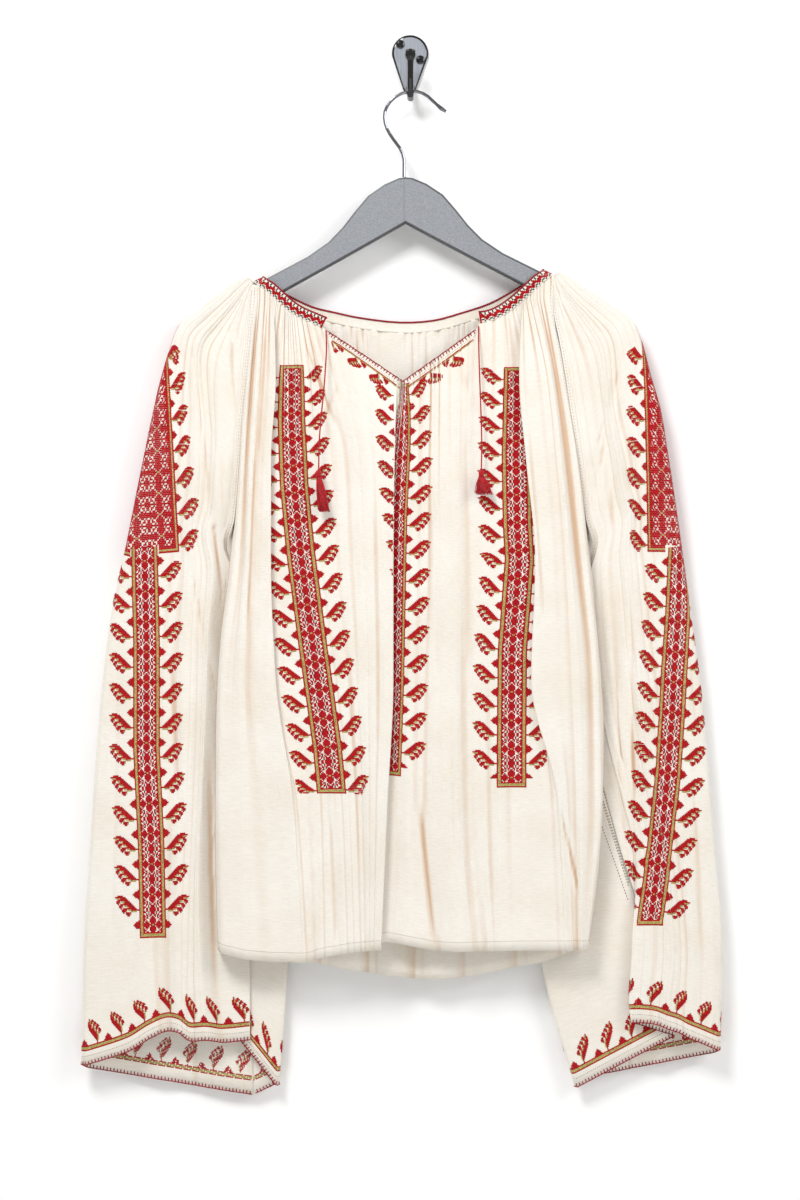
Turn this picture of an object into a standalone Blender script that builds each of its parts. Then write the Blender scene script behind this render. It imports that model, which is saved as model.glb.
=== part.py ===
"""Romanian ie blouse hung on a wooden hanger from a small wall hook.

The tables lay the blouse out in millimetres, as on a sheet pinned to the wall:
"across" runs to the right from the sheet's left edge, "down" runs down from its top,
and "out" runs forward from the wall. The hook's plate has its back face at out = 0.
"""
import math

import bmesh
import bpy
from mathutils import Vector

MM = 0.001
SHEET_ACROSS = 410.0          # across value of the part's origin
SHEET_DOWN = 56.0             # down value of the part's origin
GAP = 0.3                     # between a piece and what it rests on or hangs from
SEAM_GAP = 0.35               # from a seam's line to the cloth on each side of it
CLOTH = 1.2                   # thickness of the gauze with its crinkle

# Hook, hanger and trim
PLATE_THICK = 3.4
SCREW_RADIUS = 4.4
SCREW_HEIGHT = 1.8
WIRE_RADIUS = 1.7
HANGER_OUT = 22.0             # centre of the hanger's wood and wire
HANGER_THICK = 13.0
HANGER_EDGE = 2.0
HANGER_CENTRE = 405.5
HANGER_HALF = 206.0
HANGER_TILT = math.radians(1.0)
ARM_SLOPE = 0.50
ARM_START = (132.5, 272.4)    # distance from the hanger's centre, down
COLLAR_WIDTH = 11.5
COLLAR_THICK = 2.4
CORD_RADIUS = 0.8

# Where the rows of a panel lie along its side seam, from the collar to the hem
ROWS = (281, 290, 308, 330, 356, 390, 430, 475, 522, 545, 600, 690, 810, 950)
ARMHOLE_END = 522.0           # the underarm, where armhole and side seam meet


def smooth(knots, values, at):
    """Cubic through a table's values, without overshoot between them."""
    if at <= knots[0]:
        return float(values[0])
    if at >= knots[-1]:
        return float(values[-1])
    last = len(knots) - 1
    slopes = [(values[k + 1] - values[k]) / (knots[k + 1] - knots[k]) for k in range(last)]
    i = max(k for k in range(last) if knots[k] <= at)

    def tangent(k):
        if k == 0:
            return slopes[0]
        if k == last:
            return slopes[-1]
        if slopes[k - 1] * slopes[k] <= 0:
            return 0.0
        return 2.0 * slopes[k - 1] * slopes[k] / (slopes[k - 1] + slopes[k])

    step = knots[i + 1] - knots[i]
    t = (at - knots[i]) / step
    return ((2 * t**3 - 3 * t**2 + 1) * values[i] + (t**3 - 2 * t**2 + t) * step * tangent(i)
            + (3 * t**2 - 2 * t**3) * values[i + 1] + (t**3 - t**2) * step * tangent(i + 1))


class Table:
    """Rows of numbers under named columns, read smoothly at any value of the first column."""

    def __init__(self, names, rows):
        self.keys = [row[0] for row in rows]
        self.columns = {name: [row[i] for row in rows] for i, name in enumerate(names.split())}

    def at(self, name, key):
        return smooth(self.keys, self.columns[name], key)


def across_section(points, place):
    """Point at a place along a section; the curve bends softly at each fold."""
    i = min(int(place), len(points) - 2)
    t = place - i
    here, there = Vector(points[i]), Vector(points[i + 1])
    before = Vector(points[i - 1]) if i > 0 else here - (there - here)
    after = Vector(points[i + 2]) if i + 2 < len(points) else there + (there - here)
    span = (there - here).length
    lead = (there - before) * 0.5
    trail = (after - here) * 0.5
    lead *= min(1.0, span / max(lead.length, 1e-6))
    trail *= min(1.0, span / max(trail.length, 1e-6))
    return (here * (2 * t**3 - 3 * t**2 + 1) + lead * (t**3 - 2 * t**2 + t)
            + there * (3 * t**2 - 2 * t**3) + trail * (t**3 - t**2))


# Seams that two pieces share. Each row is one height on the seam.
SEAM_LEFT = Table("down across front_out back_out", (
    (281, 252.8, 31.4, 13.6), (301, 251.8, 32.4, 13.4), (326, 251.0, 33.6, 14.0),
    (345, 249.5, 34.6, 15.0), (380, 246.0, 36.4, 17.0), (425, 241.5, 37.0, 20.0),
    (470, 239.0, 34.4, 23.0), (500, 236.8, 31.4, 25.0), (522, 235.0, 29.4, 26.2),
    (545, 231.5, 28.6, 27.4), (580, 228.0, 28.6, 27.4), (640, 220.5, 28.6, 27.4),
    (730, 216.0, 28.6, 27.4), (840, 215.5, 28.6, 27.4), (950, 218.2, 28.6, 27.4)))
SEAM_RIGHT = Table("down across front_out back_out", (
    (281, 554.0, 31.4, 13.6), (301, 552.8, 32.4, 13.4), (326, 555.0, 33.6, 14.0),
    (345, 559.0, 34.6, 15.0), (380, 565.0, 36.4, 17.0), (425, 572.0, 37.0, 20.0),
    (470, 579.0, 34.4, 23.0), (500, 583.0, 31.4, 25.0), (522, 585.5, 29.4, 26.2),
    (545, 588.0, 28.6, 27.4), (580, 591.5, 28.6, 27.4), (640, 598.0, 28.6, 27.4),
    (730, 604.0, 28.6, 27.4), (840, 601.0, 28.6, 27.4), (950, 588.0, 28.6, 27.4)))

# Folds of the front, from its left seam to its right seam. Each row is one fold line:
# its across value at seven heights, its lift off the panel at four, its hem and the
# number of gathers between it and the next line.
FRONT_HEIGHTS = (300, 380, 460, 560, 680, 800, 950)
FRONT_LIFT_HEIGHTS = (300, 345, 680, 950)
FRONT_FOLDS = (
    ("side roll", (255.5, 248.8, 243.0, 234.5, 221.0, 219.0, 222.0), (0.5, 1.5, -3, -3), 951, 1),
    ("armhole crevice", (258.5, 252, 247, 243, 231, 228, 234), (-1, -3, 0, 1), 954, 1),
    ("armhole ridge", (262.5, 257, 252, 248, 241, 243, 248), (0.5, 3, 3, 3), 957, 1),
    ("side crevice", (268, 264, 259, 255.5, 252, 262, 270), (-1, 0.5, 1, -2), 959.5, 1),
    ("left pleat edge", (273, 275.5, 271, 271, 276, 293, 302), (0.5, 5, 5, 2), 960, 1),
    ("left pleat roll", None, None, 960, 1),
    ("left pleat tuck", (279.5, 265, 257, 257, 265, 300, 311), (0, -1.5, -1.5, 1), 959, 1),
    ("band left side", (284, 281, 280.5, 288, 304.5, 318.5, 322), (0, -5, -4.5, 3.5), 955, 2),
    ("band middle", (290, 293, 294.5, 302, 318, 332, 338), (0, -2, -1, 5), 952, 2),
    ("band right side", (297, 307, 309, 316, 332, 346, 352), (0.5, 0.5, 2, 6), 949.5, 2),
    ("neck crease", (305, 323, 341, 346, 354, 360, 364), (-1.5, -3.5, 3.5, 5.5), 948.5, 2),
    ("neck ridge", (328, 354, 367, 371, 374, 373, 372), (0, 2.5, 6, 8), 947.5, 2),
    ("centre pleat edge", (396, 396, 394, 392.8, 392.7, 387, 380.5), (0, 3.5, 6.5, 8), 946.7, 1),
    ("centre pleat roll", None, None, 946.2, 1),
    ("centre pleat tuck", (400.5, 400.5, 386, 374, 358, 340, 324), (0, 0, 0.5, 1), 945, 2),
    ("centre band", (404, 404, 400, 396, 393, 390, 388), (0, -3.5, -4, -4), 940, 1),
    ("centre band side", (412, 416, 414, 412, 409, 407, 409), (0, -1, -1, -1), 943.5, 1),
    ("hem crease", (421, 428, 426, 425, 422, 420, 434), (0, 0, -1, -4), 948.7, 2),
    ("right breast", (436, 444, 444, 444, 446, 446, 458), (1, 2, 3, 3), 949.5, 2),
    ("right trough", (474, 470, 468, 470, 468, 468, 480), (0, 0, -1, -2), 949.2, 2),
    ("right band left", (500, 502, 501.5, 504.5, 498, 496.7, 500), (0, 0, 0, 1), 948.6, 1),
    ("right band middle", (508, 516, 515.5, 518, 511, 511, 516), (0, -4, -4, 0), 948.2, 1),
    ("right pleat tuck", (515, 535, 542, 551, 546, 546, 552), (0, -1.5, -1, 0.5), 948, 1),
    ("right pleat roll", None, None, 948, 1),
    ("right pleat edge", (522, 519.5, 526, 535, 531, 558, 566), (0.5, 3.5, 4, 1), 948, 2),
    ("soft crevice", (528, 545, 553, 561, 566, 571, 575), (-1, 2, 2, -3), 948, 1),
    ("sleeve ridge", (535, 551, 560, 569, 577, 580, 580), (0.5, 3, 3.5, 1), 948, 1),
    ("right crevice", (541, 556, 566.5, 577, 588, 590, 583.5), (-1, -3, -2.5, -1), 948, 1),
    ("right side roll", (548, 561.8, 575.5, 586, 597.0, 600.0, 586.0), (0.5, 1, -3, -4), 948, 1))
FRONT_BASE = Table("down out", (
    (281, 32.2), (301, 33), (330, 34.4), (380, 38), (460, 42), (560, 45), (680, 47),
    (800, 49), (950, 50)))

# Folds of the back, from its left seam to its right seam, in the same columns
BACK_HEIGHTS = (320, 460, 640, 950)
BACK_LIFT_HEIGHTS = (320, 460, 640, 950)
BACK_FOLDS = (
    ("side roll", (256, 243.5, 223, 220.6), (0, 0.4, 0.9, 0.9), 951, 2),
    ("side crease", (264, 258, 246, 240), (0, 0.8, 0.8, 0.8), 954, 1),
    ("blade ridge", (274, 276, 270, 264), (0, -1.5, -1.2, -0.5), 957, 2),
    ("blade crease", (288, 294, 292, 290), (0, 1.5, 1.5, 1.5), 960, 1),
    ("left long ridge", (306, 312, 316, 318), (0, -2, -3, -3), 964, 2),
    ("left long crease", (324, 330, 338, 342), (0, 1.5, 2, 2), 969, 1),
    ("left middle ridge", (346, 350, 360, 366), (0, -2, -3, -3), 973, 2),
    ("left middle crease", (368, 372, 382, 388), (0, 1, 2, 2.5), 976, 1),
    ("centre ridge", (400, 402, 406, 412), (0, -2, -3, -3.5), 979, 2),
    ("centre crease", (428, 428, 430, 436), (0, 1, 2, 2), 979.5, 1),
    ("right middle ridge", (450, 452, 456, 462), (0, -2, -3, -3), 978.5, 2),
    ("right middle crease", (472, 476, 482, 488), (0, 1.5, 2, 2), 973, 1),
    ("right long ridge", (494, 500, 506, 514), (0, -2, -3, -3), 968, 2),
    ("right long crease", (514, 524, 532, 540), (0, 1.5, 1.5, 2), 963, 1),
    ("right blade ridge", (531, 544, 556, 560), (0, -1.5, -1.2, -0.5), 956, 2),
    ("right side crease", (542, 560, 576, 574), (0, 0.8, 0.8, 0.8), 951, 1),
    ("right side roll", (549, 575.5, 595.5, 585.6), (0, 0.4, 0.9, 0.9), 949, 2))
BACK_BASE = Table("down out", (
    (281, 13.2), (330, 13.4), (380, 16), (460, 21), (560, 24.5), (950, 26)))

# A sleeve is one rolled sheet, from its front seam round the outer fold to its back seam.
# Each row is one height on the seam, with the seam's place, the fold's and the depths of
# the two layers.
SLEEVE_COLUMNS = "row seam_across seam_out back_across back_out fold_across fold_down front back"
SLEEVE_LEFT = Table(SLEEVE_COLUMNS, (
    (281, 252.8, 31.4, 252.8, 13.6, 250.6, 279.4, 31.6, 13.4),
    (289, 252.5, 31.8, 252.5, 13.5, 247.0, 276.8, 33.0, 12.2),
    (301, 251.8, 32.4, 251.8, 13.4, 237.0, 280.6, 34.0, 11.6),
    (319, 251.2, 33.3, 251.2, 13.8, 218.0, 294.2, 34.6, 11.2),
    (345, 249.5, 34.6, 249.5, 15.0, 196.0, 311.2, 35.0, 11.0),
    (380, 246.0, 36.4, 246.0, 17.0, 178.5, 326.0, 35.4, 11.0),
    (425, 241.5, 37.0, 241.1, 20.0, 168.6, 352.0, 35.0, 11.0),
    (470, 239.0, 34.4, 238.4, 23.0, 159.3, 384.0, 34.0, 11.0),
    (500, 236.6, 31.4, 236.1, 25.0, 150.4, 424.0, 33.0, 10.8),
    (522, 234.2, 29.4, 234.0, 26.2, 142.5, 462.0, 32.0, 10.6),
    (545, 227.4, 21.5, 227.4, 18.5, 135.2, 498.0, 31.0, 10.2),
    (580, 240.0, 18.0, 241.0, 14.0, 125.5, 546.0, 30.0, 9.8),
    (640, 246.0, 18.0, 250.0, 12.0, 110.0, 617.0, 29.0, 9.4),
    (730, 249.0, 18.0, 254.0, 11.5, 98.0, 722.0, 29.0, 9.0),
    (840, 246.0, 18.6, 254.0, 11.0, 89.6, 843.0, 30.0, 9.0),
    (950, 240.0, 20.5, 253.0, 10.5, 83.0, 955.0, 31.0, 9.0),
    (1041, 239.0, 21.5, 252.0, 10.0, 80.8, 1067.0, 32.0, 9.0)))
SLEEVE_RIGHT = Table(SLEEVE_COLUMNS, (
    (281, 554.0, 31.4, 554.0, 13.6, 556.4, 273.6, 31.6, 13.4),
    (289, 553.4, 31.8, 553.4, 13.5, 559.5, 271.8, 33.0, 12.2),
    (301, 552.8, 32.4, 552.8, 13.4, 569.0, 276.4, 34.0, 11.6),
    (319, 554.0, 33.3, 554.0, 13.8, 587.5, 288.8, 34.6, 11.2),
    (345, 559.0, 34.6, 559.0, 15.0, 610.0, 302.4, 35.0, 11.0),
    (380, 565.0, 36.4, 565.0, 17.0, 632.0, 318.6, 35.4, 11.0),
    (425, 572.0, 37.0, 572.0, 20.0, 642.0, 342.0, 35.0, 11.0),
    (470, 579.0, 34.4, 579.0, 23.0, 650.5, 374.0, 34.0, 11.0),
    (500, 583.0, 31.4, 583.0, 25.0, 661.5, 413.0, 33.0, 10.8),
    (522, 586.4, 29.4, 586.6, 26.2, 667.0, 447.0, 32.0, 10.6),
    (545, 593.4, 21.5, 593.4, 18.5, 672.0, 478.0, 31.0, 10.2),
    (580, 584.0, 18.0, 583.0, 14.0, 678.5, 522.0, 30.0, 9.8),
    (640, 582.0, 18.0, 577.0, 12.0, 690.0, 604.0, 29.0, 9.4),
    (730, 591.0, 18.0, 572.0, 11.5, 703.5, 706.0, 29.0, 9.0),
    (840, 618.0, 21.0, 568.0, 11.0, 714.6, 840.0, 30.0, 9.0),
    (950, 654.0, 22.5, 570.0, 10.5, 723.0, 953.0, 31.0, 9.0),
    (1037, 676.0, 23.5, 586.0, 10.0, 720.5, 1052.0, 32.0, 9.0)))

# Folds of a sleeve. "share" is the part of the way from the seam to the outer fold.
SLEEVE_HEIGHTS = (301, 380, 470, 545, 640, 840, 950, 1040)
SLEEVE_LIFT_HEIGHTS = (301, 470, 640, 950)
LEFT_FRONT_FOLDS = (
    ("cuff pleat roll", None, None, 0, 1),
    ("cuff pleat edge", (0.10, 0.06, 0.05, 0.05, 0.06, 0.03, -0.055, -0.065),
     (0, -1, -10.5, -8), 0, 1),
    ("underarm slope", (0.2, 0.14, 0.12, 0.12, 0.18, 0.20, 0.16, 0.10), (-1, 0, -9, -7.5), 0, 1),
    ("armhole fold", (0.33, 0.36, 0.26, 0.22, 0.28, 0.30, 0.26, 0.20), (1.5, 2, -1, 2), -6, 2),
    ("long crease", (0.45, 0.60, 0.38, 0.30, 0.33, 0.33, 0.31, 0.31), (-1.5, -3, -2.5, 0), -8, 2),
    ("middle ridge", (0.56, 0.70, 0.52, 0.42, 0.43, 0.42, 0.40, 0.38), (1, 1.5, 1, 2), -18, 1),
    ("inner crease", (0.67, 0.79, 0.66, 0.54, 0.54, 0.52, 0.50, 0.46), (-1, -1, -1.5, -2), -21, 1),
    ("embroidered ridge", (0.79, 0.87, 0.79, 0.70, 0.68, 0.66, 0.62, 0.56), (0.5, 0, 0.5, 1), -17, 1),
    ("outer trough", (0.88, 0.93, 0.90, 0.86, 0.84, 0.82, 0.78, 0.70), (0, 0, 0, -1), -7, 1),
    ("outer roll", (0.965, 0.975, 0.975, 0.975, 0.975, 0.975, 0.975, 0.965), (-3, -3, -4, -5), 0, 1))
LEFT_BACK_FOLDS = (
    ("outer roll", (0.965, 0.975, 0.975, 0.975, 0.975, 0.975, 0.975, 0.965), (3, 3, 3, 3), 3, 1),
    ("outer trough", (0.86, 0.88, 0.86, 0.84, 0.82, 0.80, 0.78, 0.76), (-0.5, -1, -1.5, -1.5), 3, 1),
    ("long ridge", (0.68, 0.70, 0.66, 0.62, 0.60, 0.60, 0.58, 0.56), (0.8, 1.5, 2, 2), 2, 1),
    ("long crease", (0.5, 0.52, 0.48, 0.44, 0.42, 0.40, 0.40, 0.38), (-0.5, -1.5, -2, -2), 2, 2),
    ("armhole ridge", (0.3, 0.33, 0.30, 0.26, 0.24, 0.22, 0.20, 0.18), (0.8, 1.5, 1.2, 2), 1, 2))
RIGHT_FRONT_FOLDS = (
    ("cuff pleat roll", None, None, -14, 1),
    ("cuff pleat edge", (0.10, 0.08, 0.07, 0.07, 0.09, 0.17, -0.31, -1.01), (0, -1, -10, -1), -14, 2),
    ("seam slope", (0.22, 0.22, 0.20, 0.20, 0.24, 0.27, -0.10, -0.72), (-1, -1, -8, 0.5), -14, 1),
    ("first crease", (0.36, 0.40, 0.36, 0.34, 0.38, 0.37, 0.10, -0.44), (1, -2.5, -3, -1), -12, 2),
    ("first ridge", (0.46, 0.52, 0.45, 0.46, 0.48, 0.46, 0.27, -0.2), (-1.5, 2.5, 1, 2), -8, 2),
    ("second crease", (0.56, 0.64, 0.53, 0.56, 0.58, 0.56, 0.42, 0.06), (1.5, -2, -2, -1), -5, 1),
    ("second ridge", (0.67, 0.74, 0.66, 0.66, 0.68, 0.66, 0.56, 0.3), (-1, 1.5, 1, 1.5), -3, 1),
    ("embroidered trough", (0.78, 0.83, 0.78, 0.77, 0.78, 0.76, 0.71, 0.54), (0.5, 0, -0.5, -1), -2, 1),
    ("outer trough", (0.88, 0.91, 0.89, 0.88, 0.88, 0.87, 0.85, 0.77), (0, 0, 0, -0.5), -1, 1),
    ("outer roll", (0.965, 0.975, 0.975, 0.975, 0.975, 0.975, 0.965, 0.93), (-3, -3, -4, -5), 0, 1))
RIGHT_BACK_FOLDS = LEFT_BACK_FOLDS

# The underarm gores close the sleeves. Each row is one height, with the inner edge.
GORE_LEFT = Table("down inner_across inner_out", (
    (545, 236.0, 17.6), (580, 251.0, 15.6), (640, 258.0, 14.6), (730, 266.0, 14.4),
    (840, 274.0, 14.4), (950, 287.0, 15.0), (1000, 285.0, 15.0), (1087, 278.0, 15.0)))
GORE_RIGHT = Table("down inner_across inner_out", (
    (545, 585.0, 17.6), (580, 570.0, 15.6), (640, 562.0, 14.6), (730, 553.0, 14.4),
    (840, 546.0, 14.4), (950, 541.0, 15.0), (1000, 550.0, 15.0), (1087, 576.0, 15.0)))

LONG_GATHER = 0.3             # height of a gather's wave all the way down
NECK_GATHER = 0.45            # and what the gathered neck adds to it
GATHER_FADE = 90.0            # distance over which the neck's share dies away
STITCHED_GATHER = 0.6         # height of a gather where the band holds it
NECK_REACH = 14.0             # how far down the band holds the panel to its own depth
WIDE_GATHER = 6.0             # a narrower gather is lower in proportion
SLEEVE_TOP_FLAT = 30.0        # a sleeve's gathers grow from the top over this distance
CUFF_START = 900.0            # row from which the two layers of a cuff part
HEM_CURVE = 1.5               # power of the curve by which a hem leaves the level rows
FOLD_FULL_WIDTH = 70.0        # a narrower sleeve has lower folds in proportion
SLEEVE_OPENS = 9.0            # row distance over which the folded sleeve's top opens
PLEAT_ROLL = 0.35             # how soon a pleat turns under, as a share of its depth
PLEAT_TURN = 2.5              # and in millimetres at most
PLEAT_DROP = 0.65             # how far it has sunk by then
GORE_START = 580.0            # row of the gore's upper end, under the armhole
GORE_TUCK = 1.9               # how far the gore's seam lies under the sleeve at the cuff
GORE_TUCK_START = 800.0       # row where it starts to go under
GORE_ROLL = 2.2               # half the depth of its rolled inner edge
GORE_HEM = {-1.0: 1087.0, 1.0: 1089.0}
BACK_HEM_DROP = {-1.0: 57.0, 1.0: 43.0}   # the back of a cuff hangs below the front

# Centre line of the collar band, from one end of the slit round the neck to the other.
# "turn" is how far the band's lower edge leans outward, in degrees. Where "down" is None
# the band rests on the hanger's arm.
COLLAR_PATH = (
    (324.6, 323.0, 32.4, 24), (313.5, 318.2, 32.4, 27), (300.8, 312.6, 32.2, 33),
    (289.4, 305.1, 32.0, 42), (279.0, 295.6, 31.8, 47), (270.0, 287.4, 32.0, 52),
    (262.6, 282.6, 31.7, 60), (259.2, None, 28.6, 63), (258.6, None, 22.0, 63),
    (259.4, None, 15.4, 63), (264.0, 285.0, 12.6, 56), (274.0, 291.6, 12.9, 42),
    (285.0, 298.5, 13.2, 34), (309.0, 310.0, 13.2, 22), (332.0, 315.8, 13.0, 15),
    (360.5, 321.8, 13.0, 8), (400.0, 326.2, 13.0, 0), (434.4, 324.2, 13.0, -8),
    (463.0, 316.6, 13.0, -17), (491.8, 307.0, 13.2, -24), (514.8, 294.6, 13.2, -32),
    (530.5, 284.5, 12.9, -42), (542.0, 277.2, 12.6, -56), (547.4, None, 15.4, -63),
    (548.2, None, 22.0, -63), (547.6, None, 28.6, -63), (544.4, 275.4, 31.7, -60),
    (537.8, 280.0, 32.0, -52), (529.7, 287.6, 31.8, -47), (521.7, 295.0, 32.0, -42),
    (512.5, 302.8, 32.2, -38), (501.0, 310.8, 32.4, -30), (489.6, 315.8, 32.4, -18),
    (479.0, 317.6, 32.4, -8))
SLIT_POINT = (403.0, 381.5)
TIE_ROUTES = {                # across, down and out along each tie's centre
    "tie_left": ((326.2, 330.5, 35.0), (326.8, 350, 42.0), (325.8, 370, 46.5),
                 (324.3, 392, 49.0), (321.9, 416, 51.0), (319.8, 444, 52.6),
                 (319.3, 471.0, 53.4)),
    "tie_right": ((478.4, 326.5, 34.3), (478.5, 348, 41.0), (479.0, 370, 44.5),
                  (479.7, 391.5, 47.0), (480.6, 418, 49.2), (481.2, 444, 50.8),
                  (480.8, 471.0, 51.8))}
TASSELS = {                   # across and down of the foot, across half-width, length
    "tassel_left": (324.5, 514.0, 6.0), "tassel_right": (483.0, 497.0, 9.5)}
TASSEL_STRANDS = 28
HOOK_PATH = (                 # down, out and radius of the coat hook's peg
    (83.0, PLATE_THICK + 0.3, 4.6), (83.0, 5.6, 4.2), (87.6, 9.6, 3.7), (93.4, 14.4, 3.5),
    (96.4, 20.5, 3.5), (94.6, 27.0, 3.5), (88.0, 31.5, 3.5), (79.0, 33.6, 3.4),
    (68.0, 34.4, 3.3), (61.4, 34.7, 3.6), (59.6, 34.7, 4.8), (57.4, 34.7, 5.9), (55.0, 34.7, 6.3),
    (52.4, 34.7, 5.7), (50.4, 34.7, 4.3), (49.0, 34.7, 1.8))
WIRE_PATH = (                 # across and down of the hanger's hook
    (404.0, 176.0), (404.0, 167.0), (404.0, 158.0), (400.6, 148.0), (393.6, 138.6),
    (387.2, 128.2), (384.4, 117.6), (385.9, 107.0), (393.2, 97.2), (403.6, 91.4),
    (415.2, 89.9), (425.4, 93.2), (433.6, 100.2), (440.6, 106.6), (446.2, 110.4))


def place(across, down, out):
    """World position of a point given on the sheet."""
    return Vector(((across - SHEET_ACROSS) * MM, -out * MM, (SHEET_DOWN - down) * MM))


def material(name, colour, roughness, metallic=0.0):
    made = bpy.data.materials.new(name)
    made.use_nodes = True
    shader = made.node_tree.nodes["Principled BSDF"]
    shader.inputs["Base Color"].default_value = (*colour, 1.0)
    shader.inputs["Roughness"].default_value = roughness
    shader.inputs["Metallic"].default_value = metallic
    return made


def new_object(name, data, finish):
    made = bpy.data.objects.new(name, data)
    made.data.materials.append(finish)
    PARTS.objects.link(made)
    return made


def solid_object(name, points, faces, finish):
    """Closed body from points and faces, with its faces turned outward."""
    mesh = bpy.data.meshes.new(name)
    mesh.from_pydata(points, [], faces)
    shape = bmesh.new()
    shape.from_mesh(mesh)
    bmesh.ops.recalc_face_normals(shape, faces=shape.faces)
    shape.to_mesh(mesh)
    shape.free()
    return new_object(name, mesh, finish)


def grid_object(name, grid, finish, thickness):
    """Cloth wall through a grid of sheet points, with its thickness shared by both sides."""
    wide = len(grid[0])
    points = [place(*point) for row in grid for point in row]
    faces = [(r * wide + c, (r + 1) * wide + c, (r + 1) * wide + c + 1, r * wide + c + 1)
             for r in range(len(grid) - 1) for c in range(wide - 1)]
    mesh = bpy.data.meshes.new(name)
    mesh.from_pydata(points, [], faces)
    mesh.shade_smooth()
    made = new_object(name, mesh, finish)
    wall = made.modifiers.new("wall", "SOLIDIFY")
    wall.thickness = thickness * MM
    wall.offset = 0.0
    return made


def tube_object(name, points, radius, finish, radii=None, fine=2):
    """Tube with filled caps along sheet points."""
    curve = bpy.data.curves.new(name, "CURVE")
    curve.dimensions = "3D"
    curve.bevel_depth = radius * MM
    curve.bevel_resolution = fine
    curve.use_fill_caps = True
    spline = curve.splines.new("POLY")
    spline.points.add(len(points) - 1)
    for i, point in enumerate(points):
        spline.points[i].co = (*place(*point), 1.0)
        spline.points[i].radius = radii[i] / radius if radii else 1.0
    return new_object(name, curve, finish)


def resample(route, count):
    """Evenly spread points on a smooth curve through a route."""
    fine = 40
    dense = [across_section(route, i / fine) for i in range((len(route) - 1) * fine + 1)]
    lengths = [0.0]
    for a, b in zip(dense, dense[1:]):
        lengths.append(lengths[-1] + (b - a).length)
    out = []
    for k in range(count):
        goal = lengths[-1] * k / (count - 1)
        i = min(max(n for n, run in enumerate(lengths) if run <= goal + 1e-9), len(dense) - 2)
        t = (goal - lengths[i]) / max(lengths[i + 1] - lengths[i], 1e-9)
        out.append(dense[i].lerp(dense[i + 1], min(t, 1.0)))
    return out


def arm_top(across):
    """Height of the hanger arm's top edge, as the down value, with the hanger's tilt."""
    distance = abs(across - HANGER_CENTRE)
    level = ARM_START[1] + (distance - ARM_START[0]) * ARM_SLOPE
    return level - (across - HANGER_CENTRE) * math.tan(HANGER_TILT)


def collar_stations():
    """Centre, lean and depth of the collar band at each station of its path."""
    rest = COLLAR_THICK / 2 / math.cos(math.atan(ARM_SLOPE)) + GAP
    return [(across, arm_top(across) - rest if down is None else down, out, math.radians(turn))
            for across, down, out, turn in COLLAR_PATH]


def collar_edge(station, reach):
    """Point on the band's width, reach millimetres from its centre line."""
    across, down, out, turn = station
    return (across - math.sin(turn) * reach, down + math.cos(turn) * reach, out)


def neckline(front):
    """Upper edge of a panel: where it meets the collar band, and the slit in front."""
    reach = COLLAR_WIDTH / 2 + 2 * GAP
    stations = collar_stations()
    if not front:
        return [collar_edge(s, reach) for s in stations[10:23]]
    left = [collar_edge(s, reach) for s in reversed(stations[:7])]
    right = [collar_edge(s, reach) for s in reversed(stations[-9:])]
    slit = [(326.5, 330.5, 33.0), (365.0, 356.0, 35.0), (*SLIT_POINT, 37.0),
            (441.0, 354.5, 35.0), (476.5, 329.0, 33.0)]
    return left + slit + right


def roll_pleats(folds, points):
    """Fill in the points that turn a pleat's edge under, beside the edge itself."""
    for i, fold in enumerate(folds):
        if "pleat roll" in fold[0]:
            after_edge = "pleat edge" in folds[i - 1][0]
            edge, tuck = Vector(points[i - 1]), Vector(points[i + 1])
            if not after_edge:
                edge, tuck = tuck, edge
            depth = (tuck - edge).length
            turned = edge.lerp(tuck, min(PLEAT_ROLL, PLEAT_TURN / max(depth, PLEAT_TURN)))
            turned[-1] = edge[-1] + (tuck[-1] - edge[-1]) * PLEAT_DROP
            points[i] = tuple(turned)
    return points


def edge_at(edge, across):
    """Down and out values of an upper edge at an across value."""
    for a, b in zip(edge, edge[1:]):
        if a[0] <= across <= b[0]:
            t = (across - a[0]) / (b[0] - a[0])
            return a[1] + (b[1] - a[1]) * t, a[2] + (b[2] - a[2]) * t
    end = edge[0] if across < edge[0][0] else edge[-1]
    return end[1], end[2]


def uneven(number):
    """A share between 0.35 and 1 that differs from gather to gather."""
    return 0.675 + 0.325 * math.sin(number * 2.4 + 1.3 * math.sin(number * 0.9))


def gather_phase(folds, line_place):
    """Number of gathers between the first line and a place among the lines."""
    i = min(int(line_place), len(folds) - 1)
    before = sum(fold[-1] for fold in folds[:i])
    return before + folds[i][-1] * (line_place - i)


def row_down(row, top, hem, last):
    """Down value of a row on a line whose ends differ from the side seam's."""
    rise = (top - ROWS[0]) * max(0.0, 1 - (row - ROWS[0]) / (ARMHOLE_END - ROWS[0]))
    fall = max(0.0, (row - ARMHOLE_END) / (last - ARMHOLE_END))
    return row + rise + (hem - last) * fall ** HEM_CURVE


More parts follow.
